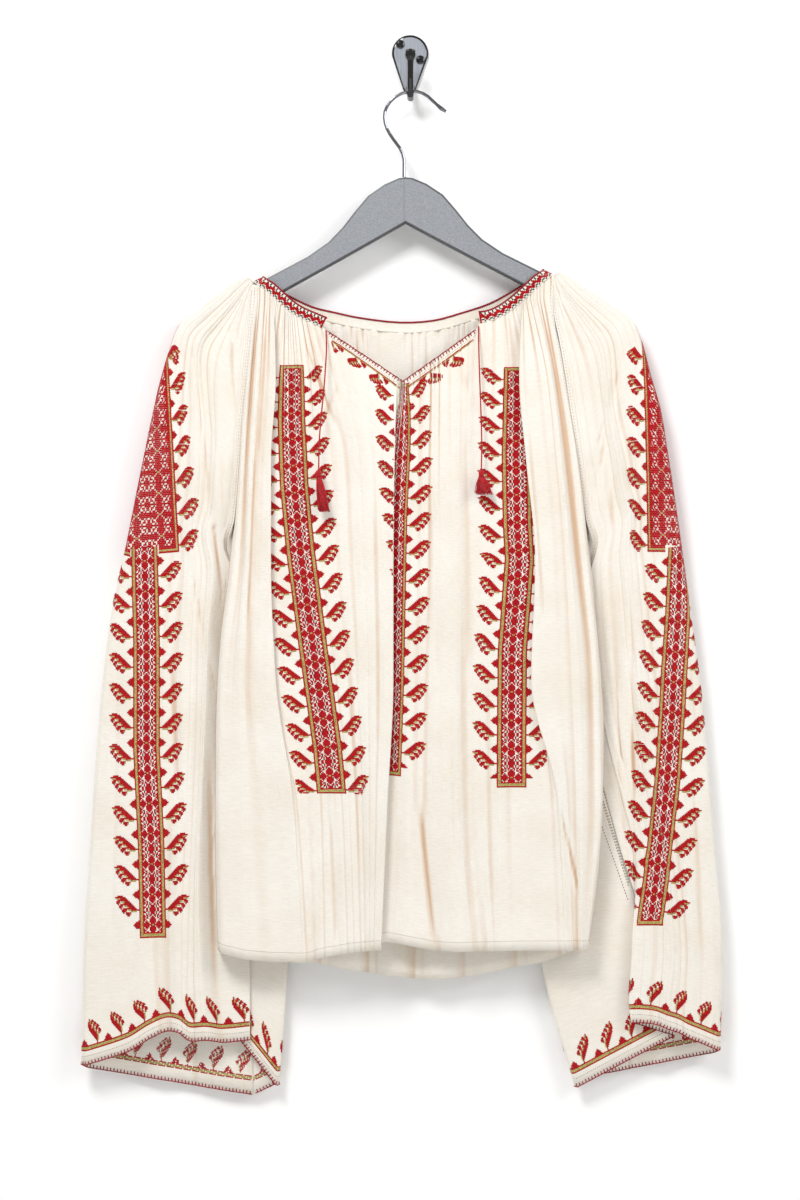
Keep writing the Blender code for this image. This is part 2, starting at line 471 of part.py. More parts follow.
class Panel:
    """Front or back: fold lines between two side seams, under a gathered neckline."""

    def __init__(self, folds, heights, lift_heights, base, front):
        seam_row = ("seam", None, None, ROWS[-1], folds[0][-1])
        self.folds = (seam_row,) + tuple(folds) + (seam_row,)
        self.heights = heights
        self.lift_heights = lift_heights
        self.base = base
        self.side = "front_out" if front else "back_out"
        self.sign = 1.0 if front else -1.0
        self.edge = neckline(front)

    def section(self, down):
        points = [(SEAM_LEFT.at("across", down) + SEAM_GAP, SEAM_LEFT.at(self.side, down))]
        for fold in self.folds[1:-1]:
            if fold[1] is None:
                points.append(None)
                continue
            lift = smooth(self.lift_heights, fold[2], down)
            out = self.base.at("out", down) + lift
            points.append((smooth(self.heights, fold[1], down), out))
        points.append((SEAM_RIGHT.at("across", down) - SEAM_GAP, SEAM_RIGHT.at(self.side, down)))
        return roll_pleats(self.folds, points)

    def on_line(self, line_place, down):
        return across_section(self.section(down), line_place)

    def top(self, line_place):
        """Where a line starts, on the neckline."""
        low, high = 262.0, 400.0
        for _ in range(14):
            middle = (low + high) / 2
            if middle < edge_at(self.edge, self.on_line(line_place, middle).x)[0]:
                low = middle
            else:
                high = middle
        return (low + high) / 2

    def point(self, row, line_place, top):
        i = min(int(line_place), len(self.folds) - 2)
        t = line_place - i
        hem = self.folds[i][3] * (1 - t) + self.folds[i + 1][3] * t
        down = row_down(row, top, hem, ROWS[-1])
        across, out = self.on_line(line_place, down)
        below = max(0.0, down - top)
        phase = gather_phase(self.folds, line_place)
        ends = min(1.0, line_place, len(self.folds) - 1 - line_place)
        line = self.section(down)
        run = (Vector(line[i + 1]) - Vector(line[i])).length / self.folds[i][-1]
        wave = uneven(round(phase)) * math.cos(2 * math.pi * phase) * ends
        wave *= min(1.0, run / WIDE_GATHER)
        out += self.sign * wave * (LONG_GATHER + NECK_GATHER * math.exp(-below / GATHER_FADE))
        edge_out = edge_at(self.edge, across)[1]
        near = math.exp(-(below / NECK_REACH) ** 2) * min(1.0, ends)
        return across, down, out * (1 - near) + (edge_out + wave * STITCHED_GATHER) * near


class Sleeve:
    """One rolled sheet from the front seam round the outer fold to the back seam."""

    def __init__(self, table, front_folds, back_folds, top_shift):
        self.table = table
        self.front_folds = front_folds
        self.back_folds = back_folds
        self.top_shift = top_shift
        outer = ("outer fold", None, None, 0, 1)
        seam = ("seam", None, None, 0, 1)
        self.folds = (seam,) + tuple(front_folds) + (outer,) + tuple(back_folds) + (seam,)
        self.last = table.keys[-1]

    def layer(self, folds, row, seam, out, middle, fold_across, fold_down, base):
        """Points of one layer, from its seam side to the outer fold."""
        across0, down0 = seam
        points = []
        fall = max(0.0, (row - CUFF_START) / (self.last - CUFF_START)) ** HEM_CURVE
        for fold in folds:
            if fold[1] is None:
                points.append(None)
                continue
            share = smooth(SLEEVE_HEIGHTS, fold[1], row)
            lift = smooth(SLEEVE_LIFT_HEIGHTS, fold[2], row)
            open_out = min(1.0, (row - ROWS[0]) / SLEEVE_OPENS)
            wide = math.hypot(fold_across - across0, fold_down - down0)
            lift *= min(1.0, wide / FOLD_FULL_WIDTH)
            straight = out + (middle - out) * share
            depth = straight + (base + lift - straight) * open_out
            points.append((across0 + (fold_across - across0) * share,
                           down0 + (fold_down - down0) * max(share, 0.0) + fold[3] * fall,
                           depth))
        return points

    def section(self, row):
        value = self.table.at
        upper = max(0.0, 1 - (row - ROWS[0]) / (ARMHOLE_END - ROWS[0]))
        seam_down = row + self.top_shift * upper
        side = -1.0 if value("fold_across", row) < value("seam_across", row) else 1.0
        spread = max(0.0, (row - CUFF_START) / (self.last - CUFF_START)) ** HEM_CURVE
        back_down = seam_down + BACK_HEM_DROP[side] * spread
        fold_across, fold_down = value("fold_across", row), value("fold_down", row)
        start = (value("seam_across", row) + side * SEAM_GAP, seam_down, value("seam_out", row))
        end = (value("back_across", row) + side * SEAM_GAP, back_down, value("back_out", row))
        depth = (value("front", row) + value("back", row)) / 2
        front = self.layer(self.front_folds, row, start[:2], start[2], depth, fold_across,
                           fold_down, value("front", row))
        back = self.layer(self.back_folds, row, end[:2], end[2], depth, fold_across,
                          fold_down, value("back", row))
        points = [start] + front + [(fold_across, fold_down, depth)] + back + [end]
        return roll_pleats(self.folds, points)

    def point(self, row, line_place):
        across, down, out = across_section(self.section(row), line_place)
        phase = gather_phase(self.folds, line_place)
        ends = min(1.0, line_place, len(self.folds) - 1 - line_place)
        wave = uneven(round(phase) + 7) * math.cos(2 * math.pi * phase) * ends
        below = row - ROWS[0]
        height = LONG_GATHER + NECK_GATHER * math.exp(-below / GATHER_FADE)
        return across, down, out + wave * height * min(1.0, below / SLEEVE_TOP_FLAT)


def line_places(folds):
    """Places of the grid's columns: a crest and a trough for each gather."""
    places = [i + k / (2 * fold[-1]) for i, fold in enumerate(folds[:-1])
              for k in range(2 * fold[-1])]
    return places + [float(len(folds) - 1)]


def build_panel(name, panel, finish):
    places = line_places(panel.folds)
    tops = [panel.top(p) for p in places]
    grid = [[panel.point(row, p, top) for p, top in zip(places, tops)] for row in ROWS]
    return grid_object(name, grid, finish, CLOTH)


def sleeve_rows(sleeve):
    armhole = [row for row in ROWS if row <= 545]
    return armhole + [600.0, 700.0, 820.0, CUFF_START, 960.0, sleeve.last]


def build_sleeve(name, sleeve, finish):
    places = line_places(sleeve.folds)
    grid = [[sleeve.point(row, p) for p in places] for row in sleeve_rows(sleeve)]
    if sleeve.top_shift:
        grid = [list(reversed(row)) for row in grid]
    return grid_object(name, grid, finish, CLOTH)


def gore_section(sleeve, table, row):
    """From the front seam round the inner edge to the back seam, at one row of the sleeve."""
    ends = sleeve.section(row)
    start, end = ends[0], ends[-1]
    side = -1.0 if ends[len(sleeve.front_folds) + 1][0] < start[0] else 1.0
    fall = max(0.0, (row - CUFF_START) / (sleeve.last - CUFF_START))
    down = row + (GORE_HEM[side] - sleeve.last) * fall
    inner = (table.at("inner_across", down), down, table.at("inner_out", down))
    tucked = GORE_TUCK * min(1.0, max(0.0, (row - GORE_TUCK_START) / 80.0))
    start = Vector(start) - Vector((2 * side * SEAM_GAP, 0, tucked))
    end = Vector(end) - Vector((2 * side * SEAM_GAP, 0, 0))
    inner = Vector(inner)
    front_roll = inner + Vector((side * 3.0, 0, GORE_ROLL))
    back_roll = inner + Vector((side * 3.0, 0, -GORE_ROLL))
    return [start, start.lerp(front_roll, 0.35), start.lerp(front_roll, 0.7), front_roll, inner,
            back_roll, end.lerp(back_roll, 0.7), end.lerp(back_roll, 0.35), end]


def build_gore(name, sleeve, table, finish):
    rows = [row for row in sleeve_rows(sleeve) if row >= GORE_START]
    grid = [gore_section(sleeve, table, row) for row in rows]
    if not sleeve.top_shift:
        grid = [list(reversed(row)) for row in grid]
    return grid_object(name, grid, finish, CLOTH)


def build_collar(finish):
    """Flat band swept round the neck, a rectangle across at each station."""
    stations = collar_stations()
    centres = [Vector((s[0], s[1], s[2])) for s in stations]
    half, thick = COLLAR_WIDTH / 2, COLLAR_THICK / 2
    points, faces = [], []
    for i, (across, down, out, turn) in enumerate(stations):
        ahead = centres[min(i + 1, len(centres) - 1)] - centres[max(i - 1, 0)]
        lean = Vector((-math.sin(turn), math.cos(turn), 0.0))
        normal = ahead.cross(lean).normalized()
        for u, n in ((-1, -1), (1, -1), (1, 1), (-1, 1)):
            corner = centres[i] + lean * (u * half) + normal * (n * thick)
            points.append(place(*corner))
    for i in range(len(stations) - 1):
        for k in range(4):
            a, b = i * 4 + k, i * 4 + (k + 1) % 4
            faces.append((a, b, b + 4, a + 4))
    end = (len(stations) - 1) * 4
    faces += [(3, 2, 1, 0), (end, end + 1, end + 2, end + 3)]
    return solid_object("collar_band", points, faces, finish)


def outline_plate(name, outline, thick, out, finish, edge=0.0):
    """Flat outline in the plane of the wall, extruded forward from it."""
    curve = bpy.data.curves.new(name, "CURVE")
    curve.dimensions = "2D"
    curve.fill_mode = "BOTH"
    curve.extrude = (thick / 2 - edge) * MM
    curve.bevel_depth = edge * MM
    curve.bevel_resolution = 1
    curve.offset = -edge * MM
    spline = curve.splines.new("POLY")
    spline.points.add(len(outline) - 1)
    for i, (across, down) in enumerate(outline):
        flat = place(across, down, 0.0)
        spline.points[i].co = (flat.x, flat.z, 0.0, 1.0)
    spline.use_cyclic_u = True
    made = new_object(name, curve, finish)
    made.rotation_euler = (math.pi / 2, 0.0, 0.0)
    made.location = (0.0, -(out + thick / 2) * MM, 0.0)
    return made


def arc(centre, radius, start, stop, count):
    """Points on an arc; angles in degrees from straight up, clockwise on the sheet."""
    angles = [math.radians(start + (stop - start) * k / (count - 1)) for k in range(count)]
    return [(centre[0] + radius * math.sin(a), centre[1] - radius * math.cos(a)) for a in angles]


def build_wall_hook(plate_finish, black):
    outline = arc((410.2, 48.2), 18.3, -101, 101, 17) + arc((409.6, 81.7), 7.2, 101, 259, 9)
    outline_plate("wall_plate", outline, PLATE_THICK, 0.0, plate_finish)
    for number, (across, down) in enumerate(((400.2, 39.3), (420.5, 55.0)), 1):
        profile = bpy.data.meshes.new("screw_profile")
        steps = 4
        top = PLATE_THICK + GAP
        rim = [(SCREW_RADIUS * math.cos(math.pi / 2 * k / steps),
                top + 0.6 + (SCREW_HEIGHT - 0.6) * math.sin(math.pi / 2 * k / steps))
               for k in range(steps, -1, -1)]
        rim += [(SCREW_RADIUS, top), (0.0, top)]
        points = [(r * MM, 0.0, h * MM) for r, h in rim]
        profile.from_pydata(points, [(k, k + 1) for k in range(len(points) - 1)], [])
        screw = new_object(f"plate_screw_{number}", profile, black)
        screw.rotation_euler = (math.pi / 2, 0.0, 0.0)
        screw.location = place(across, down, 0.0)
        turn = screw.modifiers.new("turn", "SCREW")
        turn.steps = turn.render_steps = 16
        turn.use_merge_vertices = True
        turn.merge_threshold = 0.00001
    tube_object("coat_hook", [(410.4, d, o) for d, o, r in HOOK_PATH], 3.5, black,
                [r for d, o, r in HOOK_PATH], 3)


def build_hanger(wood, chrome):
    start = HANGER_HALF - 8.4
    upper = ((7, 177.6), (21, 183.6), (37.5, 194.8), (50.5, 210), (63, 226), (77, 240.3),
             (97.5, 254.4), ARM_START,
             (start, ARM_START[1] + (start - ARM_START[0]) * ARM_SLOPE))
    lower = ((start - 3, upper[-1][1] + 16.6), (121, 288.6), (67, 259.6), (25, 236.6))
    tip = arc((start, upper[-1][1] + 8.0), 8.4, 20, 170, 6)
    half = [(x, d) for x, d in upper] + tip + list(lower)
    right = [(HANGER_CENTRE + x, d) for x, d in half]
    left = [(HANGER_CENTRE - x, d) for x, d in reversed(half)]
    outline = [(HANGER_CENTRE, 176.7)] + right + [(HANGER_CENTRE, 222.6)] + left
    tilted = [(x, d - (x - HANGER_CENTRE) * math.tan(HANGER_TILT)) for x, d in outline]
    outline_plate("hanger_wood", tilted, HANGER_THICK, HANGER_OUT - HANGER_THICK / 2, wood,
                  HANGER_EDGE)
    dense = resample([Vector((a, d, HANGER_OUT)) for a, d in WIRE_PATH], 26)
    radii = [WIRE_RADIUS] * (len(dense) - 2) + [2.4, 1.6]
    tube_object("hanger_wire", dense, WIRE_RADIUS, chrome, radii, 2)


def build_tassel(name, tie_end, finish):
    """Bound head under the tie with loose strands below it."""
    foot_across, foot_down, spread = TASSELS[name]
    head_top = tie_end[1] + GAP
    neck = head_top + 5.0
    points, faces = [], []

    def ring(centre, radius, sides, start):
        for k in range(sides):
            angle = 2 * math.pi * k / sides + start
            points.append(place(centre[0] + radius * math.cos(angle), centre[1],
                                centre[2] + radius * 0.8 * math.sin(angle)))
        return list(range(len(points) - sides, len(points)))

    def join(upper, lower):
        for k in range(len(upper)):
            n = (k + 1) % len(upper)
            faces.append((upper[k], upper[n], lower[n], lower[k]))

    sides = TASSEL_STRANDS
    head = [ring((tie_end[0], head_top, tie_end[2]), 1.6, sides, 0),
            ring((tie_end[0], head_top + 1.6, tie_end[2]), 3.0, sides, 0),
            ring((tie_end[0], neck, tie_end[2]), 2.6, sides, 0)]
    faces.append(tuple(reversed(head[0])))
    for upper, lower in zip(head, head[1:]):
        join(upper, lower)
    inner = ring((tie_end[0], neck, tie_end[2]), 1.3, sides, 0)
    faces.append(tuple(inner))
    for k in range(sides):
        n = (k + 1) % sides
        root = (head[-1][k], head[-1][n], inner[n], inner[k])
        angle = 2 * math.pi * (k + 0.5) / sides
        reach = spread * (0.75 + 0.25 * uneven(k * 3))
        foot = Vector((foot_across + reach * math.cos(angle),
                       foot_down - 3.0 * uneven(k * 5),
                       tie_end[2] + 2.0 + min(reach, 5.0) * math.sin(angle)))
        tips = []
        for corner in root:
            here = points[corner]
            offset = here - place(tie_end[0], neck, tie_end[2])
            points.append(place(*foot) + offset * 0.22)
            tips.append(len(points) - 1)
        for c in range(4):
            d = (c + 1) % 4
            faces.append((root[c], root[d], tips[d], tips[c]))
        faces.append(tuple(reversed(tips)))
    return solid_object(name, points, faces, finish)


def build_ties(finish):
    for name, route in TIE_ROUTES.items():
        points = resample([Vector(p) for p in route], 28)
        tube_object(name, points, CORD_RADIUS, finish, None, 2)
        build_tassel(name.replace("tie", "tassel"), route[-1], finish)


for thing in list(bpy.data.objects):
    bpy.data.objects.remove(thing)
PARTS = bpy.data.collections.new("ie_blouse_on_hanger")
bpy.context.scene.collection.children.link(PARTS)

cotton = material("cotton_gauze", (0.86, 0.81, 0.72), 0.9)
stitched = material("stitched_band", (0.55, 0.06, 0.07), 0.85)
red_thread = material("red_thread", (0.6, 0.01, 0.03), 0.75)
wood_finish = material("painted_wood", (0.40, 0.41, 0.46), 0.55)
steel = material("polished_steel", (0.75, 0.75, 0.77), 0.2, 1.0)
plate_steel = material("brushed_plate", (0.45, 0.46, 0.48), 0.4, 1.0)
black_gloss = material("black_gloss", (0.01, 0.01, 0.012), 0.15)

build_wall_hook(plate_steel, black_gloss)
build_hanger(wood_finish, steel)
build_collar(stitched)
build_panel("front_panel",
            Panel(FRONT_FOLDS, FRONT_HEIGHTS, FRONT_LIFT_HEIGHTS, FRONT_BASE, True), cotton)
build_panel("back_panel",
            Panel(BACK_FOLDS, BACK_HEIGHTS, BACK_LIFT_HEIGHTS, BACK_BASE, False), cotton)
left_sleeve = Sleeve(SLEEVE_LEFT, LEFT_FRONT_FOLDS, LEFT_BACK_FOLDS, 0.0)
right_sleeve = Sleeve(SLEEVE_RIGHT, RIGHT_FRONT_FOLDS, RIGHT_BACK_FOLDS, -5.0)
build_sleeve("sleeve_left", left_sleeve, cotton)
build_sleeve("sleeve_right", right_sleeve, cotton)
build_gore("gore_left", left_sleeve, GORE_LEFT, cotton)
build_gore("gore_right", right_sleeve, GORE_RIGHT, cotton)
build_ties(red_thread)
bpy.context.view_layer.update()
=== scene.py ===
"""Looks of the Romanian ie blouse that hangs on a wooden hanger from a small wall hook.

The blouse is laid out as in its construction: in millimetres, as on a sheet pinned to the
wall. "across" runs to the right, "down" runs down and "out" runs forward from the wall.
Each panel of cloth is a fine shell on the panel's own folds. The embroidery is counted
from charts, one stitch after another, along the threads of that cloth.
"""
import math

import bmesh
import bpy
import numpy as np
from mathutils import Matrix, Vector


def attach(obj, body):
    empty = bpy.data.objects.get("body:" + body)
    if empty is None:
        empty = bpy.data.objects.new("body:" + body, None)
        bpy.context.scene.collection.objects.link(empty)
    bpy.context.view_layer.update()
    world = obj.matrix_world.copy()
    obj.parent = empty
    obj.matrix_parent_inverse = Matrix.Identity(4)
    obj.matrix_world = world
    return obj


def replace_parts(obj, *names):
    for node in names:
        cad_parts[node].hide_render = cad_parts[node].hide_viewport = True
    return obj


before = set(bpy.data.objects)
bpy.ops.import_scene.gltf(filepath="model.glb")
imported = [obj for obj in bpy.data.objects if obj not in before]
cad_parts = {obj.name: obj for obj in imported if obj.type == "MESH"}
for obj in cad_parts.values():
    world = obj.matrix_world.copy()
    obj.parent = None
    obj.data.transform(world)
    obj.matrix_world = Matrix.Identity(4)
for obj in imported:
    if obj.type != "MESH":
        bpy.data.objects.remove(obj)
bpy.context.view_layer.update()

MM = 0.001
SHEET_ACROSS = 410.0          # across value of the part's origin
SHEET_DOWN = 56.0             # down value of the part's origin
GAP = 0.3                     # between a piece and what it rests on or hangs from
SEAM_GAP = 0.05               # from a seam line to the shown cloth on each side of it

# Hook, hanger and trim
PLATE_THICK = 3.4
HANGER_CENTRE = 405.5
HANGER_TILT = math.radians(1.0)
ARM_SLOPE = 0.50
ARM_START = (132.5, 272.4)    # distance from the hanger's centre, down
COLLAR_WIDTH = 11.5
COLLAR_THICK = 2.4
CORD_RADIUS = 0.8

# Where the rows of a panel lie along its side seam, from the collar to the hem
ROWS = (281, 290, 308, 330, 356, 390, 430, 475, 522, 545, 600, 690, 810, 950)
ARMHOLE_END = 522.0           # the underarm, where armhole and side seam meet


def smooth(knots, values, at):
    """Cubic through a table's values, without overshoot between them."""
    if at <= knots[0]:
        return float(values[0])
    if at >= knots[-1]:
        return float(values[-1])
    last = len(knots) - 1
    slopes = [(values[k + 1] - values[k]) / (knots[k + 1] - knots[k]) for k in range(last)]
    i = max(k for k in range(last) if knots[k] <= at)

    def tangent(k):
        if k == 0:
            return slopes[0]
        if k == last:
            return slopes[-1]
        if slopes[k - 1] * slopes[k] <= 0:
            return 0.0
        return 2.0 * slopes[k - 1] * slopes[k] / (slopes[k - 1] + slopes[k])

    step = knots[i + 1] - knots[i]
    t = (at - knots[i]) / step
    return ((2 * t**3 - 3 * t**2 + 1) * values[i] + (t**3 - 2 * t**2 + t) * step * tangent(i)
            + (3 * t**2 - 2 * t**3) * values[i + 1] + (t**3 - t**2) * step * tangent(i + 1))


class Table:
    """Rows of numbers under named columns, read smoothly at any value of the first column."""

    def __init__(self, names, rows):
        self.keys = [row[0] for row in rows]
        self.columns = {name: [row[i] for row in rows] for i, name in enumerate(names.split())}

    def at(self, name, key):
        return smooth(self.keys, self.columns[name], key)


def across_section(points, place):
    """Point at a place along a section; the curve bends softly at each fold."""
    i = min(int(place), len(points) - 2)
    t = place - i
    here, there = Vector(points[i]), Vector(points[i + 1])
    before = Vector(points[i - 1]) if i > 0 else here - (there - here)
    after = Vector(points[i + 2]) if i + 2 < len(points) else there + (there - here)
    span = (there - here).length
    lead = (there - before) * 0.5
    trail = (after - here) * 0.5
    lead *= min(1.0, span / max(lead.length, 1e-6))
    trail *= min(1.0, span / max(trail.length, 1e-6))
    return (here * (2 * t**3 - 3 * t**2 + 1) + lead * (t**3 - 2 * t**2 + t)
            + there * (3 * t**2 - 2 * t**3) + trail * (t**3 - t**2))


# Seams that two pieces share. Each row is one height on the seam.
SEAMS = Table("down left_across right_across front_out back_out", (
    (281, 252.8, 554.0, 31.4, 13.6), (301, 251.8, 552.8, 32.4, 13.4),
    (326, 251.0, 555.0, 33.6, 14.0), (345, 249.5, 559.0, 34.6, 15.0),
    (380, 246.0, 565.0, 36.4, 17.0), (425, 241.5, 572.0, 37.0, 20.0),
    (470, 239.0, 579.0, 34.4, 23.0), (500, 236.8, 583.0, 31.4, 25.0),
    (522, 235.0, 585.5, 29.4, 26.2), (545, 231.5, 588.0, 28.6, 27.4),
    (580, 228.0, 591.5, 28.6, 27.4), (640, 220.5, 598.0, 28.6, 27.4),
    (730, 216.0, 604.0, 28.6, 27.4), (840, 215.5, 601.0, 28.6, 27.4),
    (950, 218.2, 588.0, 28.6, 27.4)))

# Folds of the front, from its left seam to its right seam. Each row is one fold line:
# its across value at seven heights, its lift off the panel at four, its hem and the
# number of gathers between it and the next line.
FRONT_HEIGHTS = (300, 380, 460, 560, 680, 800, 950)
FRONT_LIFT_HEIGHTS = (300, 345, 680, 950)
FRONT_FOLDS = (
    ("side roll", (255.5, 248.8, 243.0, 234.5, 221.0, 219.0, 222.0), (0.5, 1.5, -3, -3), 951, 1),
    ("armhole crevice", (258.5, 252, 247, 243, 231, 228, 234), (-1, -3, 0, 1), 954, 1),
    ("armhole ridge", (262.5, 257, 252, 248, 241, 243, 248), (0.5, 3, 3, 3), 957, 1),
    ("side crevice", (268, 264, 259, 255.5, 252, 262, 270), (-1, 0.5, 1, -2), 959.5, 1),
    ("left pleat edge", (273, 275.5, 271, 271, 276, 293, 302), (0.5, 5, 5, 2), 960, 1),
    ("left pleat roll", None, None, 960, 1),
    ("left pleat tuck", (279.5, 265, 257, 257, 265, 300, 311), (0, -1.5, -1.5, 1), 959, 1),
    ("band left side", (284, 281, 280.5, 288, 304.5, 318.5, 322), (0, -5, -4.5, 3.5), 955, 2),
    ("band middle", (290, 293, 294.5, 302, 318, 332, 338), (0, -2, -1, 5), 952, 2),
    ("band right side", (297, 307, 309, 316, 332, 346, 352), (0.5, 0.5, 2, 6), 949.5, 2),
    ("neck crease", (305, 323, 341, 346, 354, 360, 364), (-1.5, -3.5, 3.5, 5.5), 948.5, 2),
    ("neck ridge", (328, 354, 367, 371, 374, 373, 372), (0, 2.5, 6, 8), 947.5, 2),
    ("centre pleat edge", (396, 396, 394, 392.8, 392.7, 387, 380.5), (0, 3.5, 6.5, 8), 946.7, 1),
    ("centre pleat roll", None, None, 946.2, 1),
    ("centre pleat tuck", (400.5, 400.5, 386, 374, 358, 340, 324), (0, 0, 0.5, 1), 945, 2),
    ("centre band", (404, 404, 400, 396, 393, 390, 388), (0, -3.5, -4, -4), 940, 1),
    ("centre band side", (412, 416, 414, 412, 409, 407, 409), (0, -1, -1, -1), 943.5, 1),
    ("hem crease", (421, 428, 426, 425, 422, 420, 434), (0, 0, -1, -4), 948.7, 2),
    ("right breast", (436, 444, 444, 444, 446, 446, 458), (1, 2, 3, 3), 949.5, 2),
    ("right trough", (474, 470, 468, 470, 468, 468, 480), (0, 0, -1, -2), 949.2, 2),
    ("right band left", (500, 502, 501.5, 504.5, 498, 496.7, 500), (0, 0, 0, 1), 948.6, 1),
    ("right band middle", (508, 516, 515.5, 518, 511, 511, 516), (0, -4, -4, 0), 948.2, 1),
    ("right pleat tuck", (515, 535, 542, 551, 546, 546, 552), (0, -1.5, -1, 0.5), 948, 1),
    ("right pleat roll", None, None, 948, 1),
    ("right pleat edge", (522, 519.5, 526, 535, 531, 558, 566), (0.5, 3.5, 4, 1), 948, 2),
    ("soft crevice", (528, 545, 553, 561, 566, 571, 575), (-1, 2, 2, -3), 948, 1),
    ("sleeve ridge", (535, 551, 560, 569, 577, 580, 580), (0.5, 3, 3.5, 1), 948, 1),
    ("right crevice", (541, 556, 566.5, 577, 588, 590, 583.5), (-1, -3, -2.5, -1), 948, 1),
    ("right side roll", (548, 561.8, 575.5, 586, 597.0, 600.0, 586.0), (0.5, 1, -3, -4), 948, 1))
FRONT_BASE = Table("down out", (
    (281, 32.2), (301, 33), (330, 34.4), (380, 38), (460, 42), (560, 45), (680, 47),
    (800, 49), (950, 50)))

# Folds of the back, from its left seam to its right seam, in the same columns
BACK_HEIGHTS = (320, 460, 640, 950)
BACK_LIFT_HEIGHTS = (320, 460, 640, 950)
BACK_FOLDS = (
    ("side roll", (256, 243.5, 223, 220.6), (0, 0.4, 0.9, 0.9), 951, 2),
    ("side crease", (264, 258, 246, 240), (0, 0.8, 0.8, 0.8), 954, 1),
    ("blade ridge", (274, 276, 270, 264), (0, -1.5, -1.2, -0.5), 957, 2),
    ("blade crease", (288, 294, 292, 290), (0, 1.5, 1.5, 1.5), 960, 1),
    ("left long ridge", (306, 312, 316, 318), (0, -2, -3, -3), 964, 2),
    ("left long crease", (324, 330, 338, 342), (0, 1.5, 2, 2), 969, 1),
    ("left middle ridge", (346, 350, 360, 366), (0, -2, -3, -3), 973, 2),
    ("left middle crease", (368, 372, 382, 388), (0, 1, 2, 2.5), 976, 1),
    ("centre ridge", (400, 402, 406, 412), (0, -2, -3, -3.5), 979, 2),
    ("centre crease", (428, 428, 430, 436), (0, 1, 2, 2), 979.5, 1),
    ("right middle ridge", (450, 452, 456, 462), (0, -2, -3, -3), 978.5, 2),
    ("right middle crease", (472, 476, 482, 488), (0, 1.5, 2, 2), 973, 1),
    ("right long ridge", (494, 500, 506, 514), (0, -2, -3, -3), 968, 2),
    ("right long crease", (514, 524, 532, 540), (0, 1.5, 1.5, 2), 963, 1),
    ("right blade ridge", (531, 544, 556, 560), (0, -1.5, -1.2, -0.5), 956, 2),
    ("right side crease", (542, 560, 576, 574), (0, 0.8, 0.8, 0.8), 951, 1),
    ("right side roll", (549, 575.5, 595.5, 585.6), (0, 0.4, 0.9, 0.9), 949, 2))
BACK_BASE = Table("down out", (
    (281, 13.2), (330, 13.4), (380, 16), (460, 21), (560, 24.5), (950, 26)))

# A sleeve is one rolled sheet, from its front seam round the outer fold to its back seam.
# Each row is one height on the seam, with the seam's place, the fold's and the depths of
# the two layers.
SLEEVE_COLUMNS = "row seam_across seam_out back_across back_out fold_across fold_down front back"
SLEEVE_LEFT = Table(SLEEVE_COLUMNS, (
    (281, 252.8, 31.4, 252.8, 13.6, 250.6, 279.4, 31.6, 13.4),
    (289, 252.5, 31.8, 252.5, 13.5, 247.0, 276.8, 33.0, 12.2),
    (301, 251.8, 32.4, 251.8, 13.4, 237.0, 280.6, 34.0, 11.6),
    (319, 251.2, 33.3, 251.2, 13.8, 218.0, 294.2, 34.6, 11.2),
    (345, 249.5, 34.6, 249.5, 15.0, 196.0, 311.2, 35.0, 11.0),
    (380, 246.0, 36.4, 246.0, 17.0, 178.5, 326.0, 35.4, 11.0),
    (425, 241.5, 37.0, 241.1, 20.0, 168.6, 352.0, 35.0, 11.0),
    (470, 239.0, 34.4, 238.4, 23.0, 159.3, 384.0, 34.0, 11.0),
    (500, 236.6, 31.4, 236.1, 25.0, 150.4, 424.0, 33.0, 10.8),
    (522, 234.2, 29.4, 234.0, 26.2, 142.5, 462.0, 32.0, 10.6),
    (545, 227.4, 21.5, 227.4, 18.5, 135.2, 498.0, 31.0, 10.2),
    (580, 240.0, 18.0, 241.0, 14.0, 125.5, 546.0, 30.0, 9.8),
    (640, 246.0, 18.0, 250.0, 12.0, 110.0, 617.0, 29.0, 9.4),
    (730, 249.0, 18.0, 254.0, 11.5, 98.0, 722.0, 29.0, 9.0),
    (840, 246.0, 18.6, 254.0, 11.0, 89.6, 843.0, 30.0, 9.0),
    (950, 240.0, 20.5, 253.0, 10.5, 83.0, 955.0, 31.0, 9.0),
    (1041, 239.0, 21.5, 252.0, 10.0, 80.8, 1067.0, 32.0, 9.0)))
